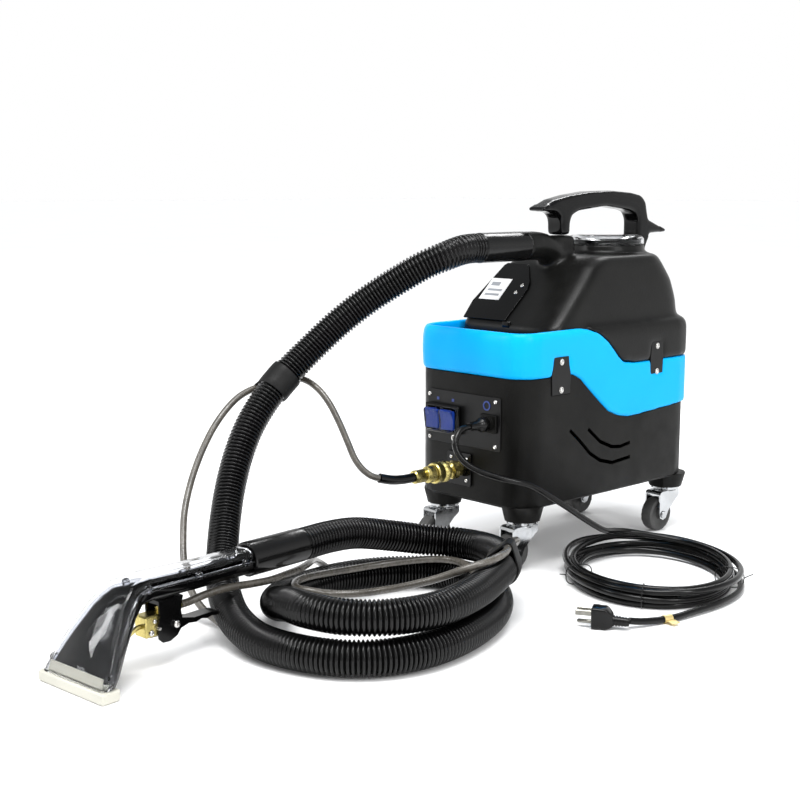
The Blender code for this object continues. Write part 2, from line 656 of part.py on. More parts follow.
# ---------------------------------------------------------------- front panel
panel_face = PANEL_Y - PANEL_THICK
control_panel = extruded(
    "control_panel",
    [
        (x, z)
        for x, z in (
            (-0.071, 0.163), (0.063, 0.163), (0.065, 0.165), (0.065, 0.234),
            (0.063, 0.236), (-0.071, 0.236), (-0.073, 0.234), (-0.073, 0.165),
        )
    ],
    -PANEL_Y, -panel_face, "XZ", BLACK_PLATE,
)
housing_back, housing_face = panel_face - GAP, -0.2065
rocker_housing = block(
    "rocker_housing", (-0.071, housing_face, 0.177), (-0.006, housing_back, 0.217),
    BLACK_GLOSS, 0.0015,
)
WELL_HALF_X, WELL_HALF_Z, ROCKER_PIVOT_Y = 0.0113, 0.0160, -0.2072
for name, x in ROCKERS.items():
    cut(
        rocker_housing,
        block(
            f"{name}_well",
            (x - WELL_HALF_X, housing_face - 0.002, ROCKER_Z - WELL_HALF_Z),
            (x + WELL_HALF_X, housing_back - 0.0012, ROCKER_Z + WELL_HALF_Z),
        ),
    )
    paddle = extruded(
        name,
        [
            (-0.0040, -0.0130), (-0.0020, 0.0), (-0.0040, 0.0130), (0.0020, 0.0130),
            (0.0055, 0.0040), (0.0055, -0.0040), (0.0020, -0.0130),
        ],
        -WELL_HALF_X + 0.0006, WELL_HALF_X - 0.0006, "YZ", ((0.02, 0.16, 0.55), 0.3),
        (x, ROCKER_PIVOT_Y, ROCKER_Z),
    )
    paddle.rotation_euler = (radians(ROCKER_TILT), 0, 0)

power_inlet = join(
    block(
        "power_inlet", (POWER_X - 0.0145, panel_face - GAP - 0.003, POWER_Z - 0.0125),
        (POWER_X + 0.0145, panel_face - GAP, POWER_Z + 0.0125), BLACK_SHELL, 0.001,
    ),
    cylinder("inlet_collar", 0.0100, 0.006, (POWER_X, -0.2025, POWER_Z), axis="Y"),
)
power_connector = turned(
    "power_connector",
    [
        (0.0, 0.0310), (0.0056, 0.0310), (0.0066, 0.0140), (0.0090, 0.0110), (0.0100, 0.0090),
        (0.0100, 0.0010), (0.0092, 0.0), (0.0, 0.0),
    ],
    (POWER_X, -0.2058, POWER_Z), BLACK_SHELL, "Y", 20,
)
power_connector.rotation_euler = (pi / 2, 0, 0)

# ---------------------------------------------------------------- solution coupler
coupler_plate = extruded(
    "coupler_plate",
    [
        (COUPLER_X + sx * a, COUPLER_Z + sz * b)
        for sx, sz, a, b in (
            (-1, -1, 0.0205, 0.0230), (1, -1, 0.0205, 0.0230), (1, -1, 0.0225, 0.0210),
            (1, 1, 0.0225, 0.0210), (1, 1, 0.0205, 0.0230), (-1, 1, 0.0205, 0.0230),
            (-1, 1, 0.0225, 0.0210), (-1, -1, 0.0225, 0.0210),
        )
    ],
    -PANEL_Y, -PANEL_Y + 0.003, "XZ", ((0.03, 0.03, 0.03), 0.35),
)


def along_coupler(name, profile, start, finish=None, sides=14):
    """A turned piece whose heights are distances out from the plate, along -Y."""
    piece = turned(name, profile, (COUPLER_X, start, COUPLER_Z), finish, "Y", sides)
    piece.rotation_euler = (pi / 2, 0, 0)
    return piece


coupler_face = PANEL_Y - 0.003 - GAP
hexagon = [
    (COUPLER_X + 0.0130 * cos(radians(60 * i)), COUPLER_Z + 0.0130 * sin(radians(60 * i)))
    for i in range(6)
]
coupler_socket = along_coupler(
    "coupler_socket",
    [
        (0.0, 0.0500), (0.0092, 0.0500), (0.0092, 0.0190), (0.0105, 0.0190), (0.0105, 0.0),
        (0.0, 0.0),
    ],
    coupler_face, BRASS,
)
join(
    coupler_socket,
    extruded("coupler_hex", hexagon, -coupler_face + 0.006, -coupler_face + 0.018, "XZ"),
)
socket_bore = along_coupler(
    "socket_bore", [(0.0, 0.060), (0.0066, 0.060), (0.0066, 0.030), (0.0, 0.030)], coupler_face
)
cut(coupler_socket, socket_bore)
coupler_sleeve = along_coupler(
    "coupler_sleeve",
    [
        (0.0135, 0.0230), (0.0145, 0.0215), (0.0145, 0.0130), (0.0132, 0.0115), (0.0132, 0.0100),
        (0.0145, 0.0085), (0.0145, 0.0015), (0.0135, 0.0), (0.0096, 0.0), (0.0096, 0.0230),
    ],
    -0.2262, BRASS, 18,
)
coupler_nipple = along_coupler(
    "coupler_nipple",
    [
        (0.0, 0.0370), (0.0078, 0.0370), (0.0092, 0.0350), (0.0092, 0.0170), (0.0075, 0.0150),
        (0.0075, 0.0125), (0.0115, 0.0110), (0.0115, 0.0003), (0.0062, 0.0003), (0.0062, -0.0120),
        (0.0, -0.0120),
    ],
    coupler_face - 0.0500, BRASS,
)
solution_hose_sleeve = tube(
    "solution_hose_sleeve",
    smooth_route(
        [
            (COUPLER_X, -0.2873, COUPLER_Z), (COUPLER_X - 0.0002, -0.305, COUPLER_Z),
            (COUPLER_X - 0.001, -0.325, 0.1322), (-0.0145, -0.3435, 0.137),
        ],
        0.010,
    ),
    0.0065, RUBBER, 4,
)

# ---------------------------------------------------------------- casters
for corner, (x, y, bearing) in CASTERS.items():
    swivel = new_empty(f"swivel_{corner}", (x, y, 0.0), bearing, MACHINE)
    turned(
        f"caster_mount_{corner}",
        [
            (0.0, CASTER_TOP), (0.0220, CASTER_TOP), (0.0220, CASTER_TOP - 0.003),
            (0.0160, CASTER_TOP - 0.0045), (0.0160, 0.0610), (0.0040, 0.0610), (0.0040, 0.0555),
            (0.0065, 0.0555), (0.0065, 0.0530), (0.0, 0.0530),
        ],
        (x, y, 0.0), ZINC, sides=12,
    )
    fork = extruded(
        f"caster_fork_{corner}",
        [
            (-0.0165, 0.0607), (0.0225, 0.0607), (0.0270, 0.0592), (0.0285, 0.0560),
            (0.0285, 0.0290), (0.0265, 0.0200), (0.0200, 0.0172), (0.0135, 0.0195),
            (0.0075, 0.0310), (-0.0080, 0.0450), (-0.0165, 0.0510),
        ],
        -0.0140, 0.0140, "XZ", ZINC, parent=swivel,
    )
    cut(
        fork,
        block(f"fork_gap_{corner}", (-0.03, -0.0115, 0.0), (0.04, 0.0115, 0.0558), parent=swivel),
        cylinder(f"fork_eye_{corner}", 0.0044, 0.02, (0, 0, 0.06), sides=16, parent=swivel),
        cylinder(
            f"fork_axle_hole_{corner}", 0.0034, 0.04, (CASTER_TRAIL, 0, WHEEL_RADIUS), None, "Y",
            12, swivel,
        ),
    )
    hub_place = (CASTER_TRAIL, 0, WHEEL_RADIUS)
    half = WHEEL_HALF
    turned(
        f"caster_wheel_{corner}",
        [
            (0.0210, half), (0.0245, half - 0.0012), (WHEEL_RADIUS, half - 0.0040),
            (WHEEL_RADIUS, 0.0040 - half), (0.0245, 0.0012 - half), (0.0210, -half),
            (0.0170, 0.0025 - half), (0.0080, 0.0025 - half), (0.0070, -half - 0.0012),
            (0.0035, -half - 0.0012), (0.0035, half + 0.0012), (0.0070, half + 0.0012),
            (0.0080, half - 0.0025), (0.0170, half - 0.0025),
        ],
        hub_place, GREY_TYRE, "Y", 20, swivel,
    )
    turned(
        f"caster_axle_{corner}",
        [
            (0.0, 0.0165), (0.0048, 0.0165), (0.0055, 0.0155), (0.0055, 0.0143), (0.0031, 0.0143),
            (0.0031, -0.0143), (0.0055, -0.0143), (0.0055, -0.0155), (0.0048, -0.0165),
            (0.0, -0.0165),
        ],
        hub_place, ZINC, "Y", 12, swivel,
    )

# ---------------------------------------------------------------- vacuum hose and cuffs
cuff_profile = [
    (0.0190, 0.0900), (0.0205, 0.0885), (0.0205, 0.0015), (0.0190, 0.0), (0.0170, 0.0),
    (0.0170, 0.0900),
]
hose_cuff_machine = turned(
    "hose_cuff_machine", cuff_profile, (0, -0.1756, INLET_Z), ((0.02, 0.02, 0.021), 0.4), "Y", 24
)
hose_cuff_wand = turned(
    "hose_cuff_wand",
    [(r, 0.2324 + z * 0.968) for r, z in cuff_profile],
    (0, 0, WAND_Z), ((0.02, 0.02, 0.021), 0.4), "Y", 24, WAND,
)
vacuum_line = smooth_route(VACUUM_ROUTE, 0.040, 0.010)
solution_line = smooth_route(SOLUTION_ROUTE, 0.0315, 0.006)
tube("vacuum_hose", vacuum_line, VACUUM_HOSE_RADIUS, RUBBER, 4)
tube("solution_hose", solution_line, SOLUTION_HOSE_RADIUS, GREY_HOSE, 2)


def hull(points):
    """The convex outline round flat points, counter-clockwise."""
    points = sorted(set(points))
    outline = []
    for run in (points, points[::-1]):
        part = []
        for p in run:
            while len(part) > 1 and (
                (part[-1][0] - part[-2][0]) * (p[1] - part[-2][1])
                - (part[-1][1] - part[-2][1]) * (p[0] - part[-2][0])
            ) <= 1e-9:
                part.pop()
            part.append(p)
        outline += part[:-1]
    return outline


def hose_strap(name, beside, length):
    """A band round both hoses, square to the vacuum hose where it passes nearest a place."""
    lines = [
        (np.vstack([np.linspace(p, q, 8, endpoint=False) for p, q in zip(line, line[1:])]), radius)
        for line, radius in (
            (vacuum_line, VACUUM_HOSE_RADIUS), (solution_line, SOLUTION_HOSE_RADIUS)
        )
    ]
    vacuum = lines[0][0]
    i = int(np.linalg.norm(vacuum - np.array(beside), axis=1).argmin())
    run = Vector(vacuum[i + 3] - vacuum[i - 3]).normalized()
    side = Vector((0, 0, 1)).cross(run).normalized()
    frame = Matrix((side, run.cross(side), run)).transposed()
    circles = []
    for line, radius in lines:
        for place in line:
            a, b, depth = frame.transposed() @ Vector(place - vacuum[i])
            if abs(depth) < length / 2 + 0.003 and abs(a) + abs(b) < 0.045:
                circles.append((a, b, radius + 0.0014))
    inner, outer = (
        hull(
            [
                (
                    round(a + (r + extra) * cos(pi * k / 10), 6),
                    round(b + (r + extra) * sin(pi * k / 10), 6),
                )
                for a, b, r in circles
                for k in range(20)
            ]
        )
        for extra in (0.0, 0.0016)
    )
    return extruded(
        name, thinned(outer), -length / 2, length / 2, finish=BLACK_GLOSS, at=vacuum[i],
        holes=[thinned(inner)], turn=frame,
    )


def thinned(outline, least=0.0022):
    """An outline without the points that lie closer than this to the one before."""
    kept = [outline[0]]
    for point in outline[1:]:
        if (Vector(point) - Vector(kept[-1])).length >= least:
            kept.append(point)
    return kept


hose_strap("hose_strap_upper", (-0.1315, -0.4159, 0.2596), 0.024)
hose_strap("hose_strap_coil", (0.2120, -0.3500, 0.0620), 0.026)

# ---------------------------------------------------------------- mains lead
power_cord = tube("power_cord", smooth_route(CORD_ROUTE, 0.0165, 0.005), CORD_RADIUS, RUBBER, 2)
coil = turned(
    "power_cord_coil",
    [
        (0.090, COIL_HEIGHT), (0.112, COIL_HEIGHT), (COIL_OUTER, 0.019), (COIL_OUTER, 0.008),
        (0.114, 0.0), (0.086, 0.0), (COIL_INNER, 0.008), (COIL_INNER, 0.019),
    ],
    COIL_AT, RUBBER, sides=30,
)
coil.rotation_euler = (0, 0, radians(COIL_TURN))
coil.scale = (1, COIL_STRETCH, 1)
PLUG_AT, PLUG_TURN = (0.3125, -0.2850, 0.0), 31.0
PLUG = new_empty("plug_frame", PLUG_AT, PLUG_TURN, MACHINE)
plug_tail = [
    (0.3355, -0.2635, 0.0092), (0.3420, -0.2500, 0.0070), (0.3500, -0.2260, 0.0050),
    (0.3570, -0.2000, 0.0048), (0.3600, -0.1750, 0.0055), (0.3605, -0.1565, 0.0065),
]
power_cord_tail = tube(
    "power_cord_tail", smooth_route(plug_tail, 0.012), CORD_RADIUS, RUBBER, 2
)
power_plug = loft(
    "power_plug",
    [
        [(x, y, z) for y, z in ((-w, b), (w, b), (w, t), (-w, t))]
        for x, w, b, t in (
            (-0.0120, 0.0100, 0.0012, 0.0252), (-0.0105, 0.0110, 0.0002, 0.0262),
            (0.0060, 0.0110, 0.0002, 0.0262), (0.0120, 0.0070, 0.0030, 0.0200),
            (0.0150, 0.0062, 0.0040, 0.0165), (0.0290, 0.0048, 0.0046, 0.0142),
        )
    ],
    RUBBER, parent=PLUG,
)
join(
    power_plug,
    block("plug_blade_left", (-0.031, 0.0056, 0.0153), (-0.006, 0.0071, 0.0217), parent=PLUG),
    block("plug_blade_right", (-0.031, -0.0071, 0.0153), (-0.006, -0.0056, 0.0217), parent=PLUG),
    cylinder("plug_ground_pin", 0.0024, 0.024, (-0.0180, 0, 0.0066), None, "X", 12, PLUG),
)

# ---------------------------------------------------------------- hand wand
# Sections from the head up the tube: (y, z, rise angle, width, thickness).
WAND_SECTIONS = [
    (0.0000, 0.0124, 90.0, 0.106, 0.020), (0.0090, 0.0250, 66.0, 0.099, 0.021),
    (0.0220, 0.0450, 56.0, 0.086, 0.022), (0.0450, 0.0760, 50.0, 0.062, 0.025),
    (0.0630, 0.0900, 25.0, 0.046, 0.028), (0.0850, 0.0925, 2.0, 0.036, 0.030),
    (0.1500, 0.0905, 0.0, 0.031, 0.030), (0.2320, 0.0905, 0.0, 0.030, 0.030),
]


def wand_rings(inset):
    rings = []
    for y, z, angle, width, thick in WAND_SECTIONS:
        run, rise = cos(radians(angle)), sin(radians(angle))
        flat = rounded_rectangle(width / 2 - inset, inset - thick / 2, thick / 2 - inset,
                                 0.007 - inset, 0.007 - inset, 2)
        rings.append([(a, y - rise * b, z + run * b) for a, b in flat])
    return rings


def wand_skin(name, inset, finish=None):
    rings = wand_rings(inset)
    if inset:
        rings[0] = [(x, y, z - 0.004) for x, y, z in rings[0]]
        rings[-1] = [(x, y + 0.02, z) for x, y, z in rings[-1]]
    return loft(name, rings, finish, parent=WAND)


split = [(y, z) for y, z, *_ in WAND_SECTIONS]
split = [(0.0, -0.02), *split[:-1]]
below_split = [(y + 0.0002, z - 0.0002) for y, z in split]
above_split = [(y - 0.0002, z + 0.0002) for y, z in split]
wand_body = wand_skin("wand_body", 0.0, BLACK_GLOSS)
keep(
    wand_body,
    extruded(
        "body_half",
        [*below_split, (0.2293, WAND_Z - 0.0002), (0.2293, 0.20), (0.30, 0.20), (0.30, -0.02)],
        -0.08, 0.08, "YZ", parent=WAND,
    ),
)
cut(wand_body, wand_skin("body_channel", 0.0028))
join(
    wand_body,
    turned(
        "wand_collar",
        [(0.0140, 0.0350), (0.0154, 0.0330), (0.0154, 0.0), (0.0119, 0.0), (0.0119, 0.0350)],
        (0, 0.2303, WAND_Z), None, "Y", 20, WAND,
    ),
)
wand_window = wand_skin("wand_window", 0.0, CLEAR)
keep(
    wand_window,
    extruded(
        "window_half",
        [*above_split, (0.2290, WAND_Z + 0.0002), (0.2290, 0.20), (-0.15, 0.20), (-0.15, -0.02)],
        -0.08, 0.08, "YZ", parent=WAND,
    ),
)
cut(wand_window, wand_skin("window_channel", 0.0026))
wand_nozzle = extruded(
    "wand_nozzle",
    [
        (-0.0550, -0.0120), (0.0550, -0.0120), (0.0565, -0.0100), (0.0565, 0.0080),
        (0.0540, 0.0120), (-0.0540, 0.0120), (-0.0565, 0.0080), (-0.0565, -0.0100),
    ],
    0.0, 0.0120, finish=WHITE, parent=WAND,
    holes=[[(-0.048, -0.006), (-0.048, 0.006), (0.048, 0.006), (0.048, -0.006)]],
)
bevel(wand_nozzle, 0.0015, 1, 60)
BRACKET_HALF, CHEEK = 0.0125, 0.0022
wand_bracket = extruded(
    "wand_bracket",
    [
        (0.0960, 0.0748), (0.1300, 0.0748), (0.1280, 0.0680), (0.1265, 0.0580),
        (0.1285, 0.0480), (0.1270, 0.0390), (0.1210, 0.0315), (0.1110, 0.0270),
        (0.1010, 0.0275), (0.0960, 0.0320), (0.0945, 0.0430), (0.0970, 0.0580),
    ],
    -BRACKET_HALF, BRACKET_HALF, "YZ", BLACK_GLOSS, parent=WAND,
)
cut(
    wand_bracket,
    block(
        "bracket_slot", (-BRACKET_HALF + CHEEK, 0.06, 0.01), (BRACKET_HALF - CHEEK, 0.20, 0.0705),
        parent=WAND,
    ),
    cylinder("bracket_eye", 0.0027, 0.04, (0, 0.1185, 0.0450), None, "X", 12, WAND),
)
valve_half = BRACKET_HALF - CHEEK - GAP
wand_valve = block(
    "wand_valve", (-valve_half, 0.0800, 0.0360), (valve_half, 0.1085, 0.0600), BRASS, 0.0015,
    parent=WAND,
)
join(
    wand_valve,
    turned(
        "valve_inlet",
        [
            (0.0, 0.0310), (0.0042, 0.0310), (0.0052, 0.0250), (0.0052, 0.0180), (0.0070, 0.0180),
            (0.0070, 0.0100), (0.0052, 0.0100), (0.0052, 0.0), (0.0, 0.0),
        ],
        (0, 0.1040, 0.0600), None, "Y", 12, WAND,
    ),
)
TRIGGER_PIVOT = (0, 0.1185, 0.0450)
wand_trigger = extruded(
    "wand_trigger",
    [
        (-0.0050, 0.0030), (0.0, 0.0055), (0.0060, 0.0045), (0.0300, -0.0010), (0.0540, -0.0005),
        (0.0650, -0.0020), (0.0655, -0.0050), (0.0610, -0.0066), (0.0550, -0.0048),
        (0.0480, -0.0066), (0.0400, -0.0048), (0.0320, -0.0070), (0.0220, -0.0058),
        (0.0120, -0.0085), (0.0, -0.0070), (-0.0050, -0.0045),
    ],
    -0.0085, 0.0085, "YZ", BLACK_GLOSS, TRIGGER_PIVOT, parent=WAND,
)
cut(
    wand_trigger,
    cylinder("trigger_eye", 0.0027, 0.04, TRIGGER_PIVOT, None, "X", 12, WAND),
)
trigger_pin = turned(
    "trigger_pin",
    [
        (0.0, 0.0145), (0.0042, 0.0145), (0.0042, 0.0130), (0.0023, 0.0130), (0.0023, -0.0130),
        (0.0042, -0.0130), (0.0042, -0.0145), (0.0, -0.0145),
    ],
    TRIGGER_PIVOT, ZINC, "X", 12, WAND,
)
spray_jet = tube(
    "spray_jet",
    [
        (0, 0.0797, 0.0480), (0, 0.0750, 0.0475), (0, 0.0660, 0.0430), (0, 0.0560, 0.0370),
        (0, 0.0440, 0.0300), (0, 0.0360, 0.0240),
    ],
    0.0028, BRASS, 2, parent=WAND,
)
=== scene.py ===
"""The looks of the carpet cleaner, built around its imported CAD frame.

Metres, +Z up. The machine faces -Y. Places are given in the machine's own frame, which
MACHINE puts in the row frame. The hand wand, the plug and the coiled lead have frames of
their own.
"""

import json
from math import cos, pi, radians, sin

import bmesh
import bpy
import numpy as np
from mathutils import Matrix, Vector


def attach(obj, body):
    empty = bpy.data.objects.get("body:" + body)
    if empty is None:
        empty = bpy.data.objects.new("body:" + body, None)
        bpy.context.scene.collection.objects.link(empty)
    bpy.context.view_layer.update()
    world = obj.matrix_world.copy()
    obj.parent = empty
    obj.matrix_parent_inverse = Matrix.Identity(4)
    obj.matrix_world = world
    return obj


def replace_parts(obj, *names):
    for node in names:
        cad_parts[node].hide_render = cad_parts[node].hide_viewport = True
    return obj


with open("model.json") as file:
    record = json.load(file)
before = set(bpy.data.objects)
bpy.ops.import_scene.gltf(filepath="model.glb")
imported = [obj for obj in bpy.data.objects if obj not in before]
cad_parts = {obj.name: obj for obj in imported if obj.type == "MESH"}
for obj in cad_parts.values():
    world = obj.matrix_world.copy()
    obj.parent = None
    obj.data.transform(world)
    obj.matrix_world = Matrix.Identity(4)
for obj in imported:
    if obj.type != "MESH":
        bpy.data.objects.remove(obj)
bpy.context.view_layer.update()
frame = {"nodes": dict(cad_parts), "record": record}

RECORD = frame["record"]
SLOT_OF = {part["node"]: part["material_slot"] for part in RECORD["subparts"]}
BODY_OF = {n: body for body, nodes in RECORD["behaviour"]["bodies"].items() for n in nodes}

MACHINE = Matrix.Translation((-0.008, 0.315, 0.0))
WAND = MACHINE @ Matrix.Translation((0.070, -0.839, 0.0)) @ Matrix.Rotation(radians(5.5), 4, "Z")
PLUG = MACHINE @ Matrix.Translation((0.3125, -0.2850, 0.0)) @ Matrix.Rotation(radians(31), 4, "Z")
COIL = MACHINE @ Matrix.Translation((0.2274, -0.0778, 0.0)) @ Matrix.Rotation(radians(47.08), 4, "Z")
TO_MACHINE = MACHINE.inverted()

# ---------------------------------------------------------------- camera
CAMERA_AT, CAMERA_DOWN, CAMERA_TURN = (1.272, -1.503, 0.516), 9.03, 47.08
lens = bpy.data.cameras.new("camera")
lens.sensor_width, lens.lens = 36.0, 60.7
camera = bpy.data.objects.new("camera", lens)
camera.location = MACHINE @ Vector(CAMERA_AT)
camera.rotation_euler = (radians(90 - CAMERA_DOWN), 0, radians(CAMERA_TURN))
bpy.context.scene.collection.objects.link(camera)
bpy.context.scene.camera = camera


# ---------------------------------------------------------------- materials
def link(tree, a, output, b, entry):
    """Joins one node's output to another's entry."""
    tree.links.new(a.outputs[output], b.inputs[entry])


def noise(tree, scale, detail):
    """A noise texture fixed to the piece, with its scale in cells to the metre."""
    place = tree.nodes.new("ShaderNodeTexCoord")
    texture = tree.nodes.new("ShaderNodeTexNoise")
    texture.inputs["Scale"].default_value = scale
    texture.inputs["Detail"].default_value = detail
    link(tree, place, "Object", texture, "Vector")
    return texture


def ranged(tree, source, low, high):
    """Maps a texture's middle range to run from low to high."""
    step = tree.nodes.new("ShaderNodeMapRange")
    step.inputs["From Min"].default_value = 0.3
    step.inputs["From Max"].default_value = 0.7
    step.inputs["To Min"].default_value = low
    step.inputs["To Max"].default_value = high
    link(tree, source, "Fac", step, "Value")
    return step


def surface(name, colour, rough, metal=0.0, spread=0.2, patch=14.0, rough_spread=0.06,
            grain=0.0, grain_scale=900.0, coat=0.0, level=0.5):
    """A material whose colour and roughness drift in patches, with a fine grain in its relief."""
    made = bpy.data.materials.new(name)
    made.use_nodes = True
    tree = made.node_tree
    shader = tree.nodes["Principled BSDF"]
    shader.inputs["Metallic"].default_value = metal
    shader.inputs["Coat Weight"].default_value = coat
    shader.inputs["Coat Roughness"].default_value = 0.12
    shader.inputs["Specular IOR Level"].default_value = level
    drift = noise(tree, patch, 4.0)
    ramp = tree.nodes.new("ShaderNodeValToRGB")
    ramp.color_ramp.elements[0].position = 0.35
    ramp.color_ramp.elements[1].position = 0.68
    ramp.color_ramp.elements[0].color = (*[c * (1 - spread) for c in colour], 1)
    ramp.color_ramp.elements[1].color = (*[min(1.0, c * (1 + spread)) for c in colour], 1)
    link(tree, drift, "Fac", ramp, "Fac")
    link(tree, ramp, "Color", shader, "Base Color")
    wear = noise(tree, patch * 3.3, 5.0)
    link(tree, ranged(tree, wear, rough - rough_spread, rough + rough_spread), "Result",
         shader, "Roughness")
    if grain:
        bump = tree.nodes.new("ShaderNodeBump")
        bump.inputs["Strength"].default_value = min(1.0, grain)
        bump.inputs["Distance"].default_value = 0.0004
        link(tree, noise(tree, grain_scale, 2.0), "Fac", bump, "Height")
        link(tree, bump, "Normal", shader, "Normal")
    return made


def clear_plastic(name, tint, rough=0.04, bend=1.24):
    """Clear, thin moulded plastic, here and there a little dull."""
    made = bpy.data.materials.new(name)
    made.use_nodes = True
    tree = made.node_tree
    shader = tree.nodes["Principled BSDF"]
    shader.inputs["Transmission Weight"].default_value = 1.0
    shader.inputs["IOR"].default_value = bend
    shader.inputs["Base Color"].default_value = (*tint, 1)
    link(tree, ranged(tree, noise(tree, 9.0, 0.0), rough * 0.6, rough * 1.4), "Result",
         shader, "Roughness")
    return made


SHELL = surface("moulded_black", (0.0040, 0.0039, 0.0034), 0.45, spread=0.3, grain=0.45,
                grain_scale=650, level=0.13)
TANK_BLACK = surface("recovery_black", (0.0038, 0.0038, 0.0035), 0.36, spread=0.3, grain=0.5,
                     grain_scale=380, level=0.20)
GLOSS = surface("gloss_black", (0.0016, 0.0016, 0.0017), 0.15, spread=0.2, level=0.22,
                rough_spread=0.04)
TAPED = surface("taped_black", (0.0035, 0.0035, 0.0036), 0.19, spread=0.2, grain=0.5,
                grain_scale=95, level=0.30, rough_spread=0.05)
BLUE = surface("moulded_blue", (0.0002, 0.395, 0.90), 0.36, spread=0.03, grain=0.12,
               grain_scale=240, level=0.12)
PLATE = surface("painted_plate", (0.0050, 0.0050, 0.0052), 0.34, spread=0.25, grain=0.15,
                level=0.22)
ROCKER_BLUE = surface("rocker_blue", (0.008, 0.035, 0.25), 0.22, spread=0.2, grain=0.05)
BRASS = surface("machined_brass", (0.56, 0.47, 0.17), 0.30, metal=1.0, spread=0.14,
                rough_spread=0.07, patch=60, grain=0.05, grain_scale=300)
ZINC = surface("zinc_plate", (0.50, 0.51, 0.52), 0.16, metal=1.0, spread=0.10,
               rough_spread=0.05, patch=45, grain=0.03, grain_scale=120)
NICKEL = surface("plug_nickel", (0.24, 0.235, 0.21), 0.22, metal=1.0, spread=0.1, patch=200)
STEEL = surface("screw_steel", (0.66, 0.65, 0.63), 0.24, metal=1.0, spread=0.08, patch=200)
TREAD = surface("wheel_rubber", (0.060, 0.060, 0.059), 0.60, spread=0.22, grain=0.3, patch=60,
                level=0.25)
HOSE_BLACK = surface("hose_black", (0.0022, 0.0022, 0.0023), 0.21, spread=0.3, patch=22,
                     level=0.28)
CORD_BLACK = surface("cord_black", (0.0026, 0.0026, 0.0026), 0.22, spread=0.25, grain=0.05,
                     grain_scale=500, patch=30, level=0.26)
HOSE_GREY = surface("hose_grey", (0.080, 0.072, 0.060), 0.28, spread=0.22, grain=0.55,
                    grain_scale=1400, patch=50, coat=0.35)
WHITE = surface("nozzle_white", (0.56, 0.55, 0.48), 0.38, spread=0.06, grain=0.1)
LABEL = surface("label_white", (0.66, 0.66, 0.66), 0.40, spread=0.03, grain=0.04)
LABEL_GREY = surface("label_grey", (0.22, 0.23, 0.25), 0.42, spread=0.08)
BADGE_BLUE = surface("badge_blue", (0.012, 0.035, 0.20), 0.32, spread=0.08)
TAG_GOLD = surface("tag_gold", (0.72, 0.58, 0.26), 0.32, metal=0.6, spread=0.12, patch=120)
SEAL = surface("seal_rubber", (0.0045, 0.0045, 0.0045), 0.5, spread=0.25, grain=0.5,
               grain_scale=500, level=0.2)
MOTOR = surface("motor_paint", (0.06, 0.06, 0.066), 0.45, spread=0.15, grain=0.2)
CLEAR = clear_plastic("clear_cover", (0.90, 0.91, 0.925), 0.015)
CLEAR_EDGE = clear_plastic("clear_edge", (0.66, 0.67, 0.71), 0.03, 1.42)
BOOT = clear_plastic("clear_boot", (0.62, 0.68, 0.80), 0.05, 1.16)

FINISH = {
    "black_shell": SHELL, "blue_tank": BLUE, "black_tank": TANK_BLACK, "clear_plastic": CLEAR,
    "black_gloss": GLOSS, "black_plate": PLATE, "blue_rocker": ROCKER_BLUE, "brass": BRASS,
    "zinc": ZINC, "grey_tyre": TREAD, "hose_rubber": HOSE_BLACK, "grey_hose": HOSE_GREY,
    "cord_rubber": CORD_BLACK, "white_plastic": WHITE,
}
for node, shown in frame["nodes"].items():
    for place in shown.material_slots:
        place.material = FINISH[SLOT_OF[node]]
for node in ("vacuum_motor", "solution_pump"):
    frame["nodes"][node].material_slots[0].material = MOTOR


# ---------------------------------------------------------------- building pieces
def smooth(data):
    """Shades mesh data smoothly all over."""
    for each in data.polygons:
        each.use_smooth = True


def piece(name, mesh, finish, body="machine", space=MACHINE, sharp=35):
    """Makes a piece from mesh data or a bmesh built in one of the frames above."""
    if isinstance(mesh, bmesh.types.BMesh):
        bmesh.ops.recalc_face_normals(mesh, faces=mesh.faces)
        data = bpy.data.meshes.new(name)
        mesh.to_mesh(data)
        mesh.free()
    else:
        data = mesh
    data.transform(space)
    smooth(data)
    data.set_sharp_from_angle(angle=radians(sharp))
    obj = bpy.data.objects.new(name, data)
    bpy.context.scene.collection.objects.link(obj)
    data.materials.clear()
    data.materials.append(finish)
    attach(obj, body)
    return obj


def apply_all(obj):
    """Bakes a piece's modifiers into its mesh."""
    graph = bpy.context.evaluated_depsgraph_get()
    data = bpy.data.meshes.new_from_object(obj.evaluated_get(graph))
    old = obj.data
    obj.modifiers.clear()
    obj.data = data
    bpy.data.meshes.remove(old)
    return data


def rounded(obj, width, angle):
    """Bevels the edges that turn by more than an angle."""
    edge = obj.modifiers.new("edge", "BEVEL")
    edge.width, edge.segments = width, 2
    edge.limit_method, edge.angle_limit = "ANGLE", radians(angle)
    return obj


def clean_copy(node):
    """A CAD node's skin as welded, flat-sided mesh data."""
    mesh = bmesh.new()
    mesh.from_mesh(frame["nodes"][node].data)
    bmesh.ops.remove_doubles(mesh, verts=mesh.verts, dist=1e-5)
    bmesh.ops.dissolve_limit(
        mesh, angle_limit=radians(0.6), verts=mesh.verts, edges=mesh.edges
    )
    return mesh


def restyle(node, finish=None, edge=0.0, sharp=38, angle=30):
    """Stands for a CAD node with its own skin, softened along its hard edges."""
    obj = piece(
        f"{node}_finish", clean_copy(node), finish or FINISH[SLOT_OF[node]], BODY_OF[node],
        Matrix(), sharp,
    )
    if edge:
        rounded(obj, edge, angle)
        data = apply_all(obj)
        smooth(data)
        data.set_sharp_from_angle(angle=radians(50))
        even = obj.modifiers.new("even", "WEIGHTED_NORMAL")
        even.keep_sharp = True
    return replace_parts(obj, node)


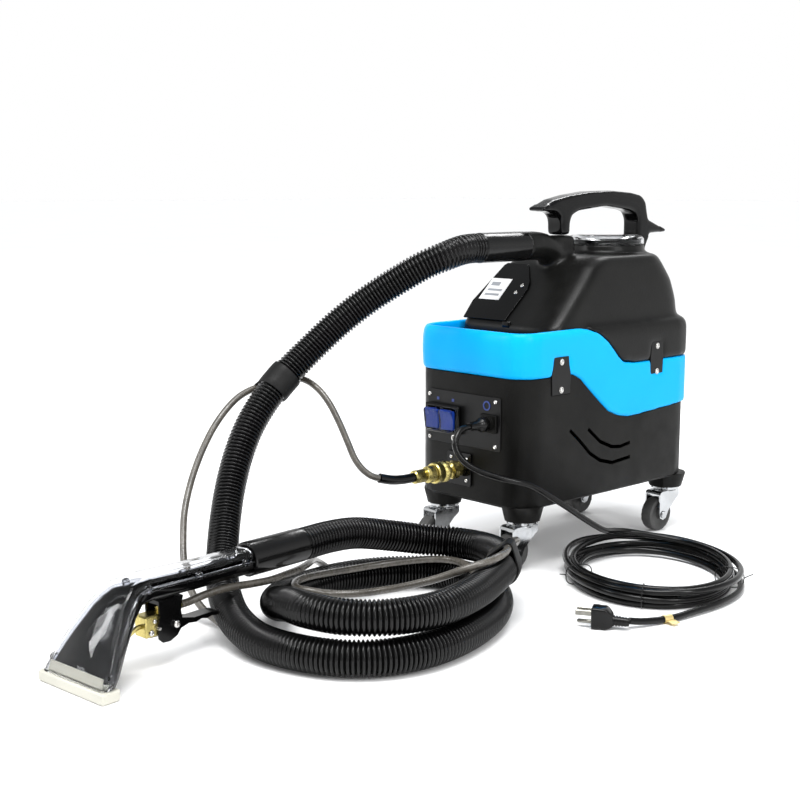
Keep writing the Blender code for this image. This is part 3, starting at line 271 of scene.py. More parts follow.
def moulded(node, finish, voxel, rounds, keep, crisp=None):
    """Stands for a CAD shell with every edge and joint rounded, as hollow mouldings are.
    The places that a given function of (x, y, z) picks stay crisp."""
    obj = piece(f"{node}_finish", clean_copy(node), finish, BODY_OF[node], Matrix())
    grid = obj.modifiers.new("grid", "REMESH")
    grid.mode, grid.voxel_size, grid.adaptivity = "VOXEL", voxel, 0.0
    data = apply_all(obj)
    melting = obj.vertex_groups.new(name="melting")
    for v in data.vertices:
        sharp_here = crisp is not None and crisp(*(TO_MACHINE @ v.co))
        melting.add([v.index], 0.12 if sharp_here else 1.0, "REPLACE")
    melt = obj.modifiers.new("melt", "SMOOTH")
    melt.factor, melt.iterations, melt.vertex_group = 0.5, rounds, "melting"
    thin = obj.modifiers.new("thin", "DECIMATE")
    thin.ratio = keep
    smooth(apply_all(obj))
    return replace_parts(obj, node)


def band(mesh, a, b):
    """Faces between two closed rings of as many vertices."""
    for i in range(len(a)):
        j = (i + 1) % len(a)
        mesh.faces.new((a[i], a[j], b[j], b[i]))


def turned(profile, sides):
    """A closed outline of (radius, height) turned round +Z."""
    mesh = bmesh.new()
    turns = [2 * pi * i / sides for i in range(sides)]
    rings = [
        [mesh.verts.new((r * cos(turn), r * sin(turn), z)) for turn in turns] for r, z in profile
    ]
    for a, b in zip(rings, rings[1:] + rings[:1]):
        band(mesh, a, b)
    bmesh.ops.remove_doubles(mesh, verts=mesh.verts, dist=1e-6)
    return mesh


def moved(mesh, matrix):
    """The same bmesh, put through a matrix."""
    bmesh.ops.transform(mesh, matrix=matrix, verts=mesh.verts)
    return mesh


def merged(*meshes):
    """Several bmeshes as one."""
    whole = bmesh.new()
    for mesh in meshes:
        data = bpy.data.meshes.new("part")
        mesh.to_mesh(data)
        mesh.free()
        whole.from_mesh(data)
        bpy.data.meshes.remove(data)
    return whole


def facing(at, outward):
    """A frame at a place whose +Z points outward."""
    turn = Vector(outward).to_track_quat("Z", "Y").to_matrix().to_4x4()
    return Matrix.Translation(at) @ turn


def box(low, high, edge=0.0, steps=2):
    """A box between two corners, with its edges bevelled if an edge width is given."""
    mesh = bmesh.new()
    low, high = Vector(low), Vector(high)
    bmesh.ops.create_cube(mesh, size=1)
    bmesh.ops.scale(mesh, vec=high - low, verts=mesh.verts)
    bmesh.ops.translate(mesh, vec=(low + high) / 2, verts=mesh.verts)
    if edge:
        bmesh.ops.bevel(mesh, geom=mesh.edges[:], offset=edge, segments=steps, profile=0.5,
                        affect="EDGES")
    return mesh


def screw_head(radius=0.0031, height=0.0018, washer=0.0):
    """A pan head with a cross recess, standing on z = 0."""
    rim = 20
    mesh = bmesh.new()

    def ring(r, heights):
        return [
            mesh.verts.new((r * cos(2 * pi * i / rim), r * sin(2 * pi * i / rim), heights[i]))
            for i in range(rim)
        ]

    dome = [(1.0, 0.0), (1.0, 0.35), (0.86, 0.75), (0.62, 0.95), (0.42, 1.0)]
    rows = [ring(radius * r, [height * h] * rim) for r, h in dome]
    # The innermost row dips along four arms to make the cross.
    rows.append(ring(radius * 0.40, [height * (0.15 if i % 5 == 0 else 1.0) for i in range(rim)]))
    for a, b in zip(rows, rows[1:]):
        band(mesh, a, b)
    centre = mesh.verts.new((0, 0, height * 0.1))
    for i in range(rim):
        mesh.faces.new((rows[-1][i], rows[-1][(i + 1) % rim], centre))
    mesh.faces.new(rows[0][::-1])
    if washer:
        plate = turned([(0.0, 0.0007), (washer, 0.0007), (washer, 0.0), (0.0, 0.0)], 28)
        moved(mesh, Matrix.Translation((0, 0, 0.0007)))
        return merged(mesh, plate)
    return mesh


def screws(name, places, outward, **size):
    """One piece with a steel screw head at each place, all facing the same way."""
    heads = [moved(screw_head(**size), facing(at, outward)) for at in places]
    return piece(name, merged(*heads), STEEL, sharp=40)


# ---------------------------------------------------------------- cords
# The cords' middle lines in the machine's frame, from the machine outwards. The mains
# lead's coil lies between CORD_ROUTE and PLUG_TAIL.
VACUUM_ROUTE = [
    (0, -.1761, .4325), (0, -.188, .4325), (-.0008, -.208, .4305), (-.008, -.231, .423),
    (-.024, -.252, .412), (-.048, -.275, .393), (-.076, -.304, .367), (-.100, -.337, .336),
    (-.119, -.373, .300), (-.130, -.407, .268), (-.133, -.439, .237), (-.131, -.467, .205),
    (-.124, -.491, .170), (-.111, -.514, .133), (-.093, -.535, .100), (-.070, -.556, .073),
    (-.040, -.579, .051), (.003, -.606, .037), (.060, -.632, .0262), (.120, -.644, .0205),
    (.180, -.637, .0205), (.224, -.615, .0205), (.252, -.583, .0205), (.266, -.546, .0205),
    (.268, -.503, .0205), (.257, -.448, .0205), (.234, -.392, .0205), (.197, -.343, .0205),
    (.152, -.311, .0205), (.108, -.301, .0205), (.066, -.311, .0205), (.030, -.341, .0205),
    (.006, -.386, .0205), (-.004, -.436, .0205), (-.001, -.484, .0205), (.016, -.528, .0235),
    (.045, -.561, .030), (.085, -.588, .042), (.130, -.608, .056), (.175, -.618, .062),
    (.215, -.606, .062), (.245, -.580, .062), (.262, -.545, .062), (.267, -.505, .062),
    (.257, -.450, .063), (.238, -.398, .0655), (.207, -.343, .067), (.168, -.311, .066),
    (.127, -.299, .064), (.090, -.307, .064), (.061, -.333, .067), (.042, -.375, .076),
    (.033, -.4265, .087), (.0346, -.4712, .0905), (.0381, -.5079, .0905), (.03945, -.5204, .0905),
]
SOLUTION_ROUTE = [
    (-.0147, -.3444, .1373), (-.0172, -.3540, .1405), (-.0260, -.3620, .1490),
    (-.038, -.3655, .162), (-.052, -.3655, .182), (-.071, -.3655, .209), (-.090, -.3665, .232),
    (-.108, -.3695, .248), (-.1265, -.3750, .258), (-.1433, -.3845, .2608),
    (-.1535, -.3992, .2563), (-.1605, -.417, .2515), (-.165, -.437, .2475), (-.166, -.462, .237),
    (-.161, -.500, .207), (-.150, -.538, .161), (-.127, -.572, .115), (-.1016, -.593, .084),
    (-.0851, -.604, .065), (-.066, -.614, .047), (-.046, -.619, .032), (-.024, -.621, .0195),
    (-.004, -.619, .011), (.016, -.618, .006), (.038, -.618, .0052), (.062, -.613, .005),
    (.085, -.601, .005), (.112, -.588, .005), (.145, -.582, .005), (.180, -.575, .005),
    (.212, -.555, .005), (.230, -.522, .005), (.231, -.480, .005), (.218, -.432, .006),
    (.203, -.398, .012), (.188, -.373, .024), (.171, -.352, .038), (.146, -.335, .046),
    (.112, -.325, .047), (.079, -.332, .0445), (.056, -.355, .042), (.0375, -.389, .040),
    (.0255, -.430, .039), (.020, -.4716, .040), (.0255, -.503, .0425), (.0375, -.5265, .0445),
    (.055, -.5385, .044), (.0735, -.530, .042), (.085, -.508, .037), (.105, -.484, .037),
    (.135, -.471, .045), (.170, -.465, .057), (.206, -.455, .071), (.234, -.437, .0850),
    (.246, -.405, .0920), (.236, -.371, .0928), (.214, -.341, .0925), (.188, -.2985, .0845),
    (.160, -.276, .067), (.128, -.259, .044), (.092, -.253, .018), (.056, -.260, .0065),
    (.018, -.284, .005), (-.012, -.318, .005), (-.030, -.360, .006), (-.037, -.402, .018),
    (-.029, -.434, .037), (-.010, -.460, .0495), (.012, -.486, .0545), (.030, -.515, .057),
    (.044, -.548, .0595), (.056, -.580, .062), (.061, -.612, .065), (.060, -.645, .067),
    (.0577, -.675, .0640), (.0560, -.6930, .0602), (.0570, -.7040, .0600),
]
CORD_ROUTE = [
    (.045, -.2371, .200), (.045, -.2450, .200), (.0455, -.256, .196), (.050, -.268, .180),
    (.060, -.265, .162), (.078, -.250, .147), (.100, -.228, .137), (.118, -.200, .128),
    (.128, -.170, .110), (.134, -.135, .088), (.137, -.100, .066), (.139, -.065, .047),
    (.134, -.035, .040), (.137, -.008, .0345), (.150, .020, .0328),
]
PLUG_TAIL = [
    (.3605, -.1565, .0065), (.3600, -.1750, .0055), (.3570, -.2000, .0048),
    (.3500, -.2260, .0050), (.3420, -.2500, .0070), (.3355, -.2635, .0092),
]
VACUUM_RADIUS, SOLUTION_RADIUS, CORD_RADIUS = 0.020, 0.0045, 0.0042


def smooth_route(points, step):
    """A centripetal curve through the points, read at even steps along it."""
    points = np.array(points, float)
    ends = np.vstack([2 * points[0] - points[1], points, 2 * points[-1] - points[-2]])
    fine = []
    for a, b, c, d in zip(ends, ends[1:], ends[2:], ends[3:]):
        t = np.cumsum([0] + [np.linalg.norm(q - p) ** 0.5 for p, q in ((a, b), (b, c), (c, d))])
        for u in np.linspace(t[1], t[2], 12, endpoint=False):
            ab, bc, cd = (
                ((t[i + 1] - u) * p + (u - t[i]) * q) / (t[i + 1] - t[i])
                for i, p, q in ((0, a, b), (1, b, c), (2, c, d))
            )
            abc = ((t[2] - u) * ab + (u - t[0]) * bc) / (t[2] - t[0])
            bcd = ((t[3] - u) * bc + (u - t[1]) * cd) / (t[3] - t[1])
            fine.append(((t[2] - u) * abc + (u - t[1]) * bcd) / (t[2] - t[1]))
    fine = np.array([*fine, points[-1]])
    along = np.r_[0, np.cumsum(np.linalg.norm(np.diff(fine, axis=0), axis=1))]
    places = np.linspace(0, along[-1], max(2, round(along[-1] / step)) + 1)
    return np.stack([np.interp(places, along, fine[:, i]) for i in range(3)], axis=1)


def length_of(line):
    """The length of a line of points."""
    return float(np.linalg.norm(np.diff(line, axis=0), axis=1).sum())


def in_row(line):
    """A line of points in the machine's frame, put in the row frame."""
    return [tuple(MACHINE @ Vector(p)) for p in line]


def swept(line, radius_at, sides):
    """A tube through fine points, as mesh data: its radius at each point comes from a
    function of the distance along it."""
    line = np.asarray(line)
    runs = np.gradient(line, axis=0)
    runs /= np.linalg.norm(runs, axis=1)[:, None]
    side = np.cross(runs[0], (0.0, 0.0, 1.0))
    if np.linalg.norm(side) < 0.1:
        side = np.cross(runs[0], (1.0, 0.0, 0.0))
    turns = 2 * pi * np.arange(sides) / sides
    verts = []
    distance = 0.0
    for i, (at, run) in enumerate(zip(line, runs)):
        side = side - run * (side @ run)
        side /= np.linalg.norm(side)
        other = np.cross(run, side)
        if i:
            distance += float(np.linalg.norm(at - line[i - 1]))
        r = radius_at(distance)
        verts.append(at + r * (np.outer(np.cos(turns), side) + np.outer(np.sin(turns), other)))
    verts = np.concatenate(verts)
    faces = []
    for i in range(len(line) - 1):
        for k in range(sides):
            n = (k + 1) % sides
            a, b = i * sides, (i + 1) * sides
            faces.append((a + k, a + n, b + n, b + k))
    faces.append(tuple(range(sides))[::-1])
    faces.append(tuple(range(len(verts) - sides, len(verts))))
    mesh = bpy.data.meshes.new("tube")
    mesh.from_pydata(verts.tolist(), [], faces)
    return mesh


def cord_curve(name, line, radius, finish, roundness=4):
    """A round cord along a line of points, as one open curve."""
    curve = bpy.data.curves.new(name, "CURVE")
    curve.dimensions, curve.bevel_depth, curve.bevel_resolution = "3D", radius, roundness
    curve.use_fill_caps = True
    spline = curve.splines.new("POLY")
    spline.points.add(len(line) - 1)
    for point, place in zip(spline.points, in_row(line)):
        point.co = (*place, 1)
    spline.use_smooth = True
    obj = bpy.data.objects.new(name, curve)
    bpy.context.scene.collection.objects.link(obj)
    curve.materials.append(finish)
    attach(obj, "machine")
    return obj


# The vacuum hose: closely spaced round ribs with narrow grooves, plain for the first and
# last two millimetres, where its cuffs hold it.
RIB_PITCH, GROOVE, GROOVE_SHARE, RIB_ROUNDNESS = 0.0050, 0.0030, 0.17, 0.55
PLAIN_END, PLAIN_STEP = 0.002, 0.0012
vacuum_line = smooth_route(VACUUM_ROUTE, RIB_PITCH / 6)
VACUUM_LENGTH = length_of(vacuum_line)


def rib(distance):
    """The vacuum hose's radius at a distance along it."""
    if min(distance, VACUUM_LENGTH - distance) < PLAIN_END:
        return VACUUM_RADIUS - PLAIN_STEP
    across = (distance / RIB_PITCH) % 1.0 - GROOVE_SHARE
    swell = sin(pi * min(1.0, max(0.0, across / (1.0 - GROOVE_SHARE)))) ** RIB_ROUNDNESS
    return VACUUM_RADIUS - GROOVE + GROOVE * swell


vacuum_hose = piece("vacuum_hose_ribbed", swept(vacuum_line, rib, 28), HOSE_BLACK,
                    sharp=60)
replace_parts(vacuum_hose, "vacuum_hose")

solution_line = smooth_route(SOLUTION_ROUTE, 0.006)
solution_hose = cord_curve("solution_hose_line", solution_line, SOLUTION_RADIUS, HOSE_GREY,
                           5)
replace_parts(solution_hose, "solution_hose")

# The mains lead: down from the inlet, round the coil from its top layer to its bottom
# one, and out to the plug. Turns are counted clockwise from the back of the coil.
COIL_STRETCH, COIL_START, COIL_TURNS, POINTS_A_TURN = 1.27, 79.0, 6.40, 40
COIL_RADII = [(0.0, 0.0971), (1.0, 0.1075), (2.0, 0.1150), (3.0, 0.1010), (4.0, 0.0880),
              (5.0, 0.0985), (6.0, 0.1090), (6.40, 0.1185)]
COIL_HEIGHTS = [(0.0, 0.0250), (0.5, 0.0224), (1.8, 0.0222), (2.2, 0.0134), (3.8, 0.0132),
                (4.2, 0.0045), (6.2, 0.0045), (6.40, 0.0062)]
COIL_DRIFT = [(0.0, 0.0, 0.0), (0.5, 0.003, 0.002), (1.8, 0.003, 0.003), (2.2, -0.002, 0.004),
              (3.8, -0.004, -0.003), (4.2, 0.002, -0.003), (6.0, 0.001, 0.0), (6.40, 0.0, 0.0)]


def read_off(table, t, column=1):
    """A column of a table, read at t in its first column."""
    return float(np.interp(t, [row[0] for row in table], [row[column] for row in table]))


def coil_turns():
    """The lead's coil as points in the machine's frame, with the slight waves of a loose lay."""
    points = []
    for i in range(int(COIL_TURNS * POINTS_A_TURN) + 1):
        t = i / POINTS_A_TURN
        turn = radians(COIL_START) - 2 * pi * t
        ease = min(1.0, t, 0.5 * (COIL_TURNS - t))
        r = read_off(COIL_RADII, t) + ease * 0.0021 * sin(1.63 * turn + 0.4)
        x = r * cos(turn) + read_off(COIL_DRIFT, t, 1) + ease * 0.0035 * sin(2.1 * t)
        y = COIL_STRETCH * r * sin(turn) + read_off(COIL_DRIFT, t, 2)
        rise = ease * 0.0016 * sin(2.37 * turn) if t < 3.8 else 0.0
        points.append(COIL @ Vector((x, y, read_off(COIL_HEIGHTS, t) + rise)))
    return [tuple(TO_MACHINE @ p) for p in points]


turns = coil_turns()
cord_line = smooth_route([*CORD_ROUTE[:-1], *turns[3::3], *PLUG_TAIL[1:]], 0.005)
mains_lead = cord_curve("mains_lead", cord_line, CORD_RADIUS, CORD_BLACK)
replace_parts(mains_lead, "power_cord", "power_cord_coil", "power_cord_tail")


# ---------------------------------------------------------------- straps on the hoses
def hull(points):
    """The convex outline round flat points, counter-clockwise."""
    points = sorted(set(points))
    outline = []
    for run in (points, points[::-1]):
        part = []
        for p in run:
            while len(part) > 1 and (
                (part[-1][0] - part[-2][0]) * (p[1] - part[-2][1])
                - (part[-1][1] - part[-2][1]) * (p[0] - part[-2][0])
            ) <= 1e-12:
                part.pop()
            part.append(p)
        outline += part[:-1]
    return outline


def evenly(outline, count):
    """A closed outline read at even steps from the point furthest along +a."""
    start = max(range(len(outline)), key=lambda i: outline[i][0])
    loop = np.array([*outline[start:], *outline[:start], outline[start]])
    along = np.r_[0, np.cumsum(np.linalg.norm(np.diff(loop, axis=0), axis=1))]
    places = np.linspace(0, along[-1], count, endpoint=False)
    return [(float(np.interp(s, along, loop[:, 0])), float(np.interp(s, along, loop[:, 1])))
            for s in places]


STRAP_SECTIONS, STRAP_POINTS, STRAP_OUTSIDE, STRAP_INSIDE, STRAP_RIM = 9, 64, 0.0024, 0.0008, 0.0006


def strap(name, node, beside, length):
    """A band that wraps both hoses where they pass a place, with its two ends drawn in."""
    step = VACUUM_LENGTH / (len(vacuum_line) - 1)
    middle = int(np.linalg.norm(vacuum_line - np.array(beside), axis=1).argmin())
    skins = []
    for proud in (STRAP_OUTSIDE, STRAP_INSIDE):
        rings = []
        for s in np.linspace(-length / 2, length / 2, STRAP_SECTIONS):
            i = middle + round(s / step)
            run = Vector(vacuum_line[i + 4] - vacuum_line[i - 4]).normalized()
            side = Vector((0, 0, 1)).cross(run).normalized()
            up = run.cross(side)
            offsets = solution_line - vacuum_line[i]
            nearest = np.abs(offsets @ np.array(run)) + 0.5 * np.linalg.norm(offsets, axis=1)
            other = Vector(offsets[int(nearest.argmin())])
            circles = [(0.0, 0.0, VACUUM_RADIUS), (side.dot(other), up.dot(other), SOLUTION_RADIUS)]
            rim = -STRAP_RIM if abs(abs(s) - length / 2) < 1e-9 else 0.0
            outline = hull([
                (a + (r + proud + rim) * cos(pi * k / 24), b + (r + proud + rim) * sin(pi * k / 24))
                for a, b, r in circles
                for k in range(48)
            ])
            at = Vector(vacuum_line[i])
            rings.append([at + side * a + up * b for a, b in evenly(outline, STRAP_POINTS)])
        skins.append(rings)
    mesh = bmesh.new()
    outer, inner = ([[mesh.verts.new(p) for p in ring] for ring in skin] for skin in skins)
    for rows in (outer, inner):
        for a, b in zip(rows, rows[1:]):
            band(mesh, a, b)
    band(mesh, outer[0], inner[0])
    band(mesh, outer[-1], inner[-1])
    obj = piece(name, mesh, SEAL, sharp=50)
    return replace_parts(obj, node)


strap_upper = strap("strap_upper", "hose_strap_upper", (-0.1315, -0.4159, 0.2596), 0.034)
strap_coil = strap("strap_coil", "hose_strap_coil", (0.2120, -0.3500, 0.0620), 0.026)


# ---------------------------------------------------------------- plug, ties and tag
def plug_body():
    """A moulded plug: a block with a waisted grip, tapering back into its relief."""
    rings = []
    for x, w, b, t in (
        (-0.0120, 0.0094, 0.0012, 0.0250), (-0.0110, 0.0106, 0.0004, 0.0260),
        (-0.0060, 0.0110, 0.0002, 0.0262), (-0.0010, 0.0104, 0.0006, 0.0256),
        (0.0040, 0.0108, 0.0003, 0.0258), (0.0075, 0.0096, 0.0010, 0.0240),
        (0.0110, 0.0076, 0.0024, 0.0205), (0.0130, 0.0064, 0.0036, 0.0176),
    ):
        corner = 0.30 * min(w, (t - b) / 2)
        ring = []
        for sx, sz, start in ((1, 1, 0), (-1, 1, 90), (-1, -1, 180), (1, -1, 270)):
            cx = sx * (w - corner)
            cz = (t - corner) if sz > 0 else (b + corner)
            for k in range(4):
                turn = radians(start + 30 * k)
                ring.append((x, cx + corner * cos(turn), cz + corner * sin(turn)))
        rings.append(ring)
    mesh = bmesh.new()
    rows = [[mesh.verts.new(p) for p in ring] for ring in rings]
    for a, b in zip(rows, rows[1:]):
        band(mesh, a, b)
    mesh.faces.new(rows[0])
    mesh.faces.new(rows[-1][::-1])
    return mesh


plug = piece("plug_body", plug_body(), CORD_BLACK, space=PLUG, sharp=40)
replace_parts(plug, "power_plug")
RELIEF = [(0.0, 0.0)] + [
    (r, z)
    for i in range(5)
    for r, z in ((0.0068 - 0.0003 * i, 0.0035 * i), (0.0068 - 0.0003 * i, 0.0035 * i + 0.0022),
                 (0.0052, 0.0035 * i + 0.0025), (0.0052, 0.0035 * i + 0.0034))
] + [(0.0046, 0.0195), (0.0, 0.0195)]
plug_relief = piece(
    "plug_relief", moved(turned(RELIEF, 28), facing((0.0125, 0, 0.0100), (1.0, 0.0, -0.03))),
    CORD_BLACK, space=PLUG, sharp=50,
)
plug_blades = piece(
    "plug_blades",
    merged(
        box((-0.031, 0.0056, 0.0153), (-0.011, 0.0071, 0.0217), 0.0005, 1),
        box((-0.031, -0.0071, 0.0153), (-0.011, -0.0056, 0.0217), 0.0005, 1),
        moved(
            turned([(0.0, 0.0185), (0.0014, 0.0180), (0.0024, 0.0162), (0.0024, 0.0), (0.0, 0.0)], 20),
            facing((-0.0115, 0, 0.0066), (-1, 0, 0)),
        ),
    ),
    NICKEL, space=PLUG,
)


# The bunch of turns that a wire tie goes round, as a rounded square of radii and heights.
BUNCH_RADIUS, BUNCH_HALF_WIDTH, BUNCH_MIDDLE, BUNCH_HALF_HEIGHT = 0.1010, 0.0180, 0.0140, 0.0132
TIE_STEPS, TIE_RADIUS, TIE_END_RADIUS, TIE_END_HEIGHT = 28, 0.0007, 0.130, 0.019


def squared(value):
    """A cosine or sine with its curve flattened, as round a rounded square."""
    return abs(value) ** 0.7 * (1 if value > 0 else -1)


def coil_tie(name, bearing):
    """A thin wire wound once round the bunched turns, its twisted end standing proud."""
    turn = radians(bearing)
    points = []
    for k in range(TIE_STEPS):
        a = 2 * pi * k / TIE_STEPS
        r = BUNCH_RADIUS + BUNCH_HALF_WIDTH * squared(cos(a))
        z = BUNCH_MIDDLE + BUNCH_HALF_HEIGHT * squared(sin(a))
        points.append((r * cos(turn), COIL_STRETCH * r * sin(turn), z))
    end = turn + 0.05
    points += [points[0], (TIE_END_RADIUS * cos(end), COIL_STRETCH * TIE_END_RADIUS * sin(end),
                           TIE_END_HEIGHT)]
    line = smooth_route(points, 0.002)
    return piece(name, swept(line, lambda s: TIE_RADIUS, 8), CORD_BLACK, space=COIL,
                 sharp=60)


ties = [coil_tie(f"coil_tie_{side}", bearing)
        for side, bearing in (("front", 252.0), ("left", 193.0), ("right", 341.0))]
tag_at = Vector((0.3535, -0.2130, 0.0049))
tag_run = Vector((0.26, 0.965, -0.01)).normalized()
tag_sleeve = [(0.0049, -0.006), (0.0049, 0.006), (0.0045, 0.006), (0.0045, -0.006)]
cord_tag = piece(
    "cord_tag",
    merged(
        moved(turned(tag_sleeve, 24), facing(tag_at, tag_run)),
        moved(box((-0.0002, -0.006, 0.0042), (0.0002, 0.006, 0.0165), 0.0001, 1),
              facing(tag_at, (0.965, -0.26, -0.12)) @ Matrix.Rotation(radians(90), 4, "Z")
              @ Matrix.Rotation(radians(8), 4, "X")),
    ),
    TAG_GOLD,
)

# ---------------------------------------------------------------- shells
restyle("base_shell", SHELL, sharp=34)
NECK_Y, NECK_RADIUS, NECK_FOOT = 0.0995, 0.056, 0.418
INLET_MOUTH_Y, INLET_UNDERSIDE, TANK_FOOT = -0.062, 0.41, 0.268
TIP_LENGTH, POST_FOOT = 0.012, 0.4395
handle = frame["nodes"]["carry_handle"]
handle_y = [(TO_MACHINE @ handle.matrix_world @ v.co).y for v in handle.data.vertices]
HANDLE_FRONT, HANDLE_REAR = min(handle_y), max(handle_y)


def neck_and_inlet(x, y, z):
    """The recovery tank's round neck, the mouth of its inlet, and its lower edge."""
    neck = z > NECK_FOOT and x * x + (y - NECK_Y) ** 2 < NECK_RADIUS ** 2
    inlet = y < INLET_MOUTH_Y and z > INLET_UNDERSIDE
    return neck or inlet or z < TANK_FOOT


def handle_tips(x, y, z):
    """The handle's front and rear points, and the feet of its two posts."""
    return y < HANDLE_FRONT + TIP_LENGTH or y > HANDLE_REAR - TIP_LENGTH or z < POST_FOOT


moulded("solution_tank", BLUE, voxel=0.0022, rounds=18, keep=0.4)
moulded("recovery_tank", TANK_BLACK, voxel=0.0024, rounds=34, keep=0.45, crisp=neck_and_inlet)
moulded("carry_handle", GLOSS, voxel=0.0015, rounds=60, keep=0.5, crisp=handle_tips)
restyle("front_cover", GLOSS, edge=0.0005)

# The front cover's tab, which runs on down over the tank's rim, and its plain label.
SLOPE_FOOT, SLOPE_HEAD = Vector((0, -0.1155, 0.3266)), Vector((0, -0.0330, 0.4051))
UP_SLOPE = (SLOPE_HEAD - SLOPE_FOOT).normalized()
OFF_SLOPE = Vector((0, -UP_SLOPE.z, UP_SLOPE.y))
COVER_PROUD = 0.0024


def on_slope(x, z):
    """The place on the front cover's face at this x and height."""
    reach = (z - SLOPE_FOOT.z) / UP_SLOPE.z
    return Vector((x, 0, 0)) + SLOPE_FOOT + UP_SLOPE * reach + OFF_SLOPE * COVER_PROUD


def slope_frame(x, z):
    """A frame on the cover's face: +X across it, +Y up it, +Z off it."""
    rows = Matrix((Vector((1, 0, 0)), UP_SLOPE, OFF_SLOPE)).transposed()
    return Matrix.Translation(on_slope(x, z)) @ rows.to_4x4()


label = slope_frame(-0.0610, 0.3670)
piece("cover_label", moved(box((-0.0195, -0.0205, 0.0), (0.0195, 0.0205, 0.0005), 0.0002, 1), label),
      LABEL)
bars = [(-0.0135, -0.0130, 0.0135, -0.0090), (-0.0135, -0.0040, 0.0135, 0.0),
        (-0.0135, 0.0060, 0.0030, 0.0130)]
piece(
    "cover_label_bars",
    merged(*[moved(box((a, b, 0.0004), (c, d, 0.0008), 0.0001, 1), label) for a, b, c, d in bars]),
    LABEL_GREY,
)
piece("cover_tab", box((-0.0075, -0.1186, 0.3120), (0.0070, -0.1157, 0.3285), 0.0006), GLOSS)
screws("cover_screws", [on_slope(-0.016, 0.3735), on_slope(-0.019, 0.3640)], OFF_SLOPE,
       radius=0.0030)

# ---------------------------------------------------------------- the rest, restyled
for node in ("control_panel", "coupler_plate", "rocker_housing", "power_inlet"):
    restyle(node, edge=0.0005)
for place in ("front", "rear"):
    for side in ("left", "right"):
        restyle(f"tie_plate_{place}_{side}", edge=0.0004)
for corner in ("front_left", "front_right", "rear_left", "rear_right"):
    restyle(f"caster_mount_{corner}")
    restyle(f"caster_fork_{corner}", edge=0.0004, angle=40)
    restyle(f"caster_axle_{corner}")
    restyle(f"caster_wheel_{corner}")
restyle("hose_cuff_machine", TAPED)
restyle("hose_cuff_wand", TAPED)
restyle("power_connector", CORD_BLACK)
for node in ("recovery_lid", "coupler_socket", "coupler_nipple", "coupler_sleeve", "standpipe",
             "shutoff_float", "spray_jet", "trigger_pin", "wand_window", "wand_body",
             "solution_hose_sleeve", "heater", "vacuum_motor", "solution_pump"):
    restyle(node)
for node in ("rocker_vacuum", "rocker_pump", "wand_nozzle", "wand_bracket", "wand_valve",
             "wand_trigger"):
    restyle(node, edge=0.0006)

# ---------------------------------------------------------------- screws and small marks
PANEL_FACE, COUPLER_PLATE_FACE = -0.1979, -0.1994
ROCKER_X = {"rocker_vacuum": -0.053, "rocker_pump": -0.024}
screws("panel_screws",
       [(x, PANEL_FACE, z) for x, z in ((-0.0695, 0.2285), (0.0560, 0.2300), (0.0560, 0.1690),
                                        (-0.0690, 0.1680))],
       (0, -1, 0), radius=0.0030)
screws("panel_ground_screw", [(-0.0220, PANEL_FACE, 0.1710)], (0, -1, 0), radius=0.0027,
       washer=0.0044)
screws("coupler_plate_screws",
       [(-0.0105 + sx * 0.0145, COUPLER_PLATE_FACE, 0.130 + sz * 0.0150)
        for sx in (-1, 1) for sz in (-1, 1)],
       (0, -1, 0), radius=0.0026)
marks = [box((x - 0.0022, PANEL_FACE - 0.0004, 0.2215), (x + 0.0022, PANEL_FACE, 0.2255), 0.0001, 1)
         for x in ROCKER_X.values()]
marks.append(
    moved(
        turned([(0.0046, 0.0006), (0.0046, 0.0), (0.0066, 0.0), (0.0066, 0.0006)], 40),
        facing((0.0400, PANEL_FACE, 0.2235), (0, -1, 0)),
    )
)
piece("panel_marks", merged(*marks), BADGE_BLUE)


def plate_face(node):
    """The outermost x of a tie plate, in the machine's frame."""
    plate = frame["nodes"][node]
    return max(((TO_MACHINE @ plate.matrix_world @ v.co).x for v in plate.data.vertices), key=abs)


for side, name in ((1, "right"), (-1, "left")):
    screws(f"tie_screws_{name}",
           [(plate_face(f"tie_plate_{place}_{name}"), y, z)
            for place, y, heights in (("front", -0.1205, (0.2820, 0.2440)),
                                      ("rear", 0.0920, (0.2870, 0.2500)))
            for z in heights],
           (side, 0, 0), radius=0.0031, washer=0.0043)

# Clear boots keep the wet out of the switches and tilt with them.
ROCKER_HINGE = Vector((0, -0.2072, 0.197))
BOOT_LEAN = (Matrix.Translation(ROCKER_HINGE) @ Matrix.Rotation(radians(8), 4, "X")
             @ Matrix.Translation(-ROCKER_HINGE))
for node, x in ROCKER_X.items():
    boot = moved(box((x - 0.0112, -0.2170, 0.1815), (x + 0.0112, -0.2068, 0.2130), 0.0040, 3),
                 BOOT_LEAN)
    piece(f"{node}_boot", boot, BOOT, BODY_OF[node])

# Caster raceways: two stacked pressed rings under each stem.
RACEWAY_HEIGHT = 0.0640
RACEWAY = [(0.0, 0.0030), (0.0150, 0.0030), (0.0172, 0.0022), (0.0178, 0.0), (0.0172, -0.0022),
           (0.0160, -0.0030), (0.0166, -0.0042), (0.0160, -0.0056), (0.0, -0.0056)]
for corner, x, y in (("front_left", -0.075, -0.163), ("front_right", 0.075, -0.163),
                     ("rear_left", -0.076, 0.160), ("rear_right", 0.076, 0.160)):
    piece(f"caster_raceway_{corner}",
          moved(turned(RACEWAY, 40), Matrix.Translation((x, y, RACEWAY_HEIGHT))), ZINC,
          BODY_OF[f"caster_fork_{corner}"])

# The lid sits on a ring of soft rubber.
GASKET = [(0.0462, 0.4373), (0.0512, 0.4373), (0.0518, 0.4363), (0.0512, 0.4353), (0.0462, 0.4353)]
piece("lid_gasket", moved(turned(GASKET, 64), Matrix.Translation((0, NECK_Y, 0))), SEAL)

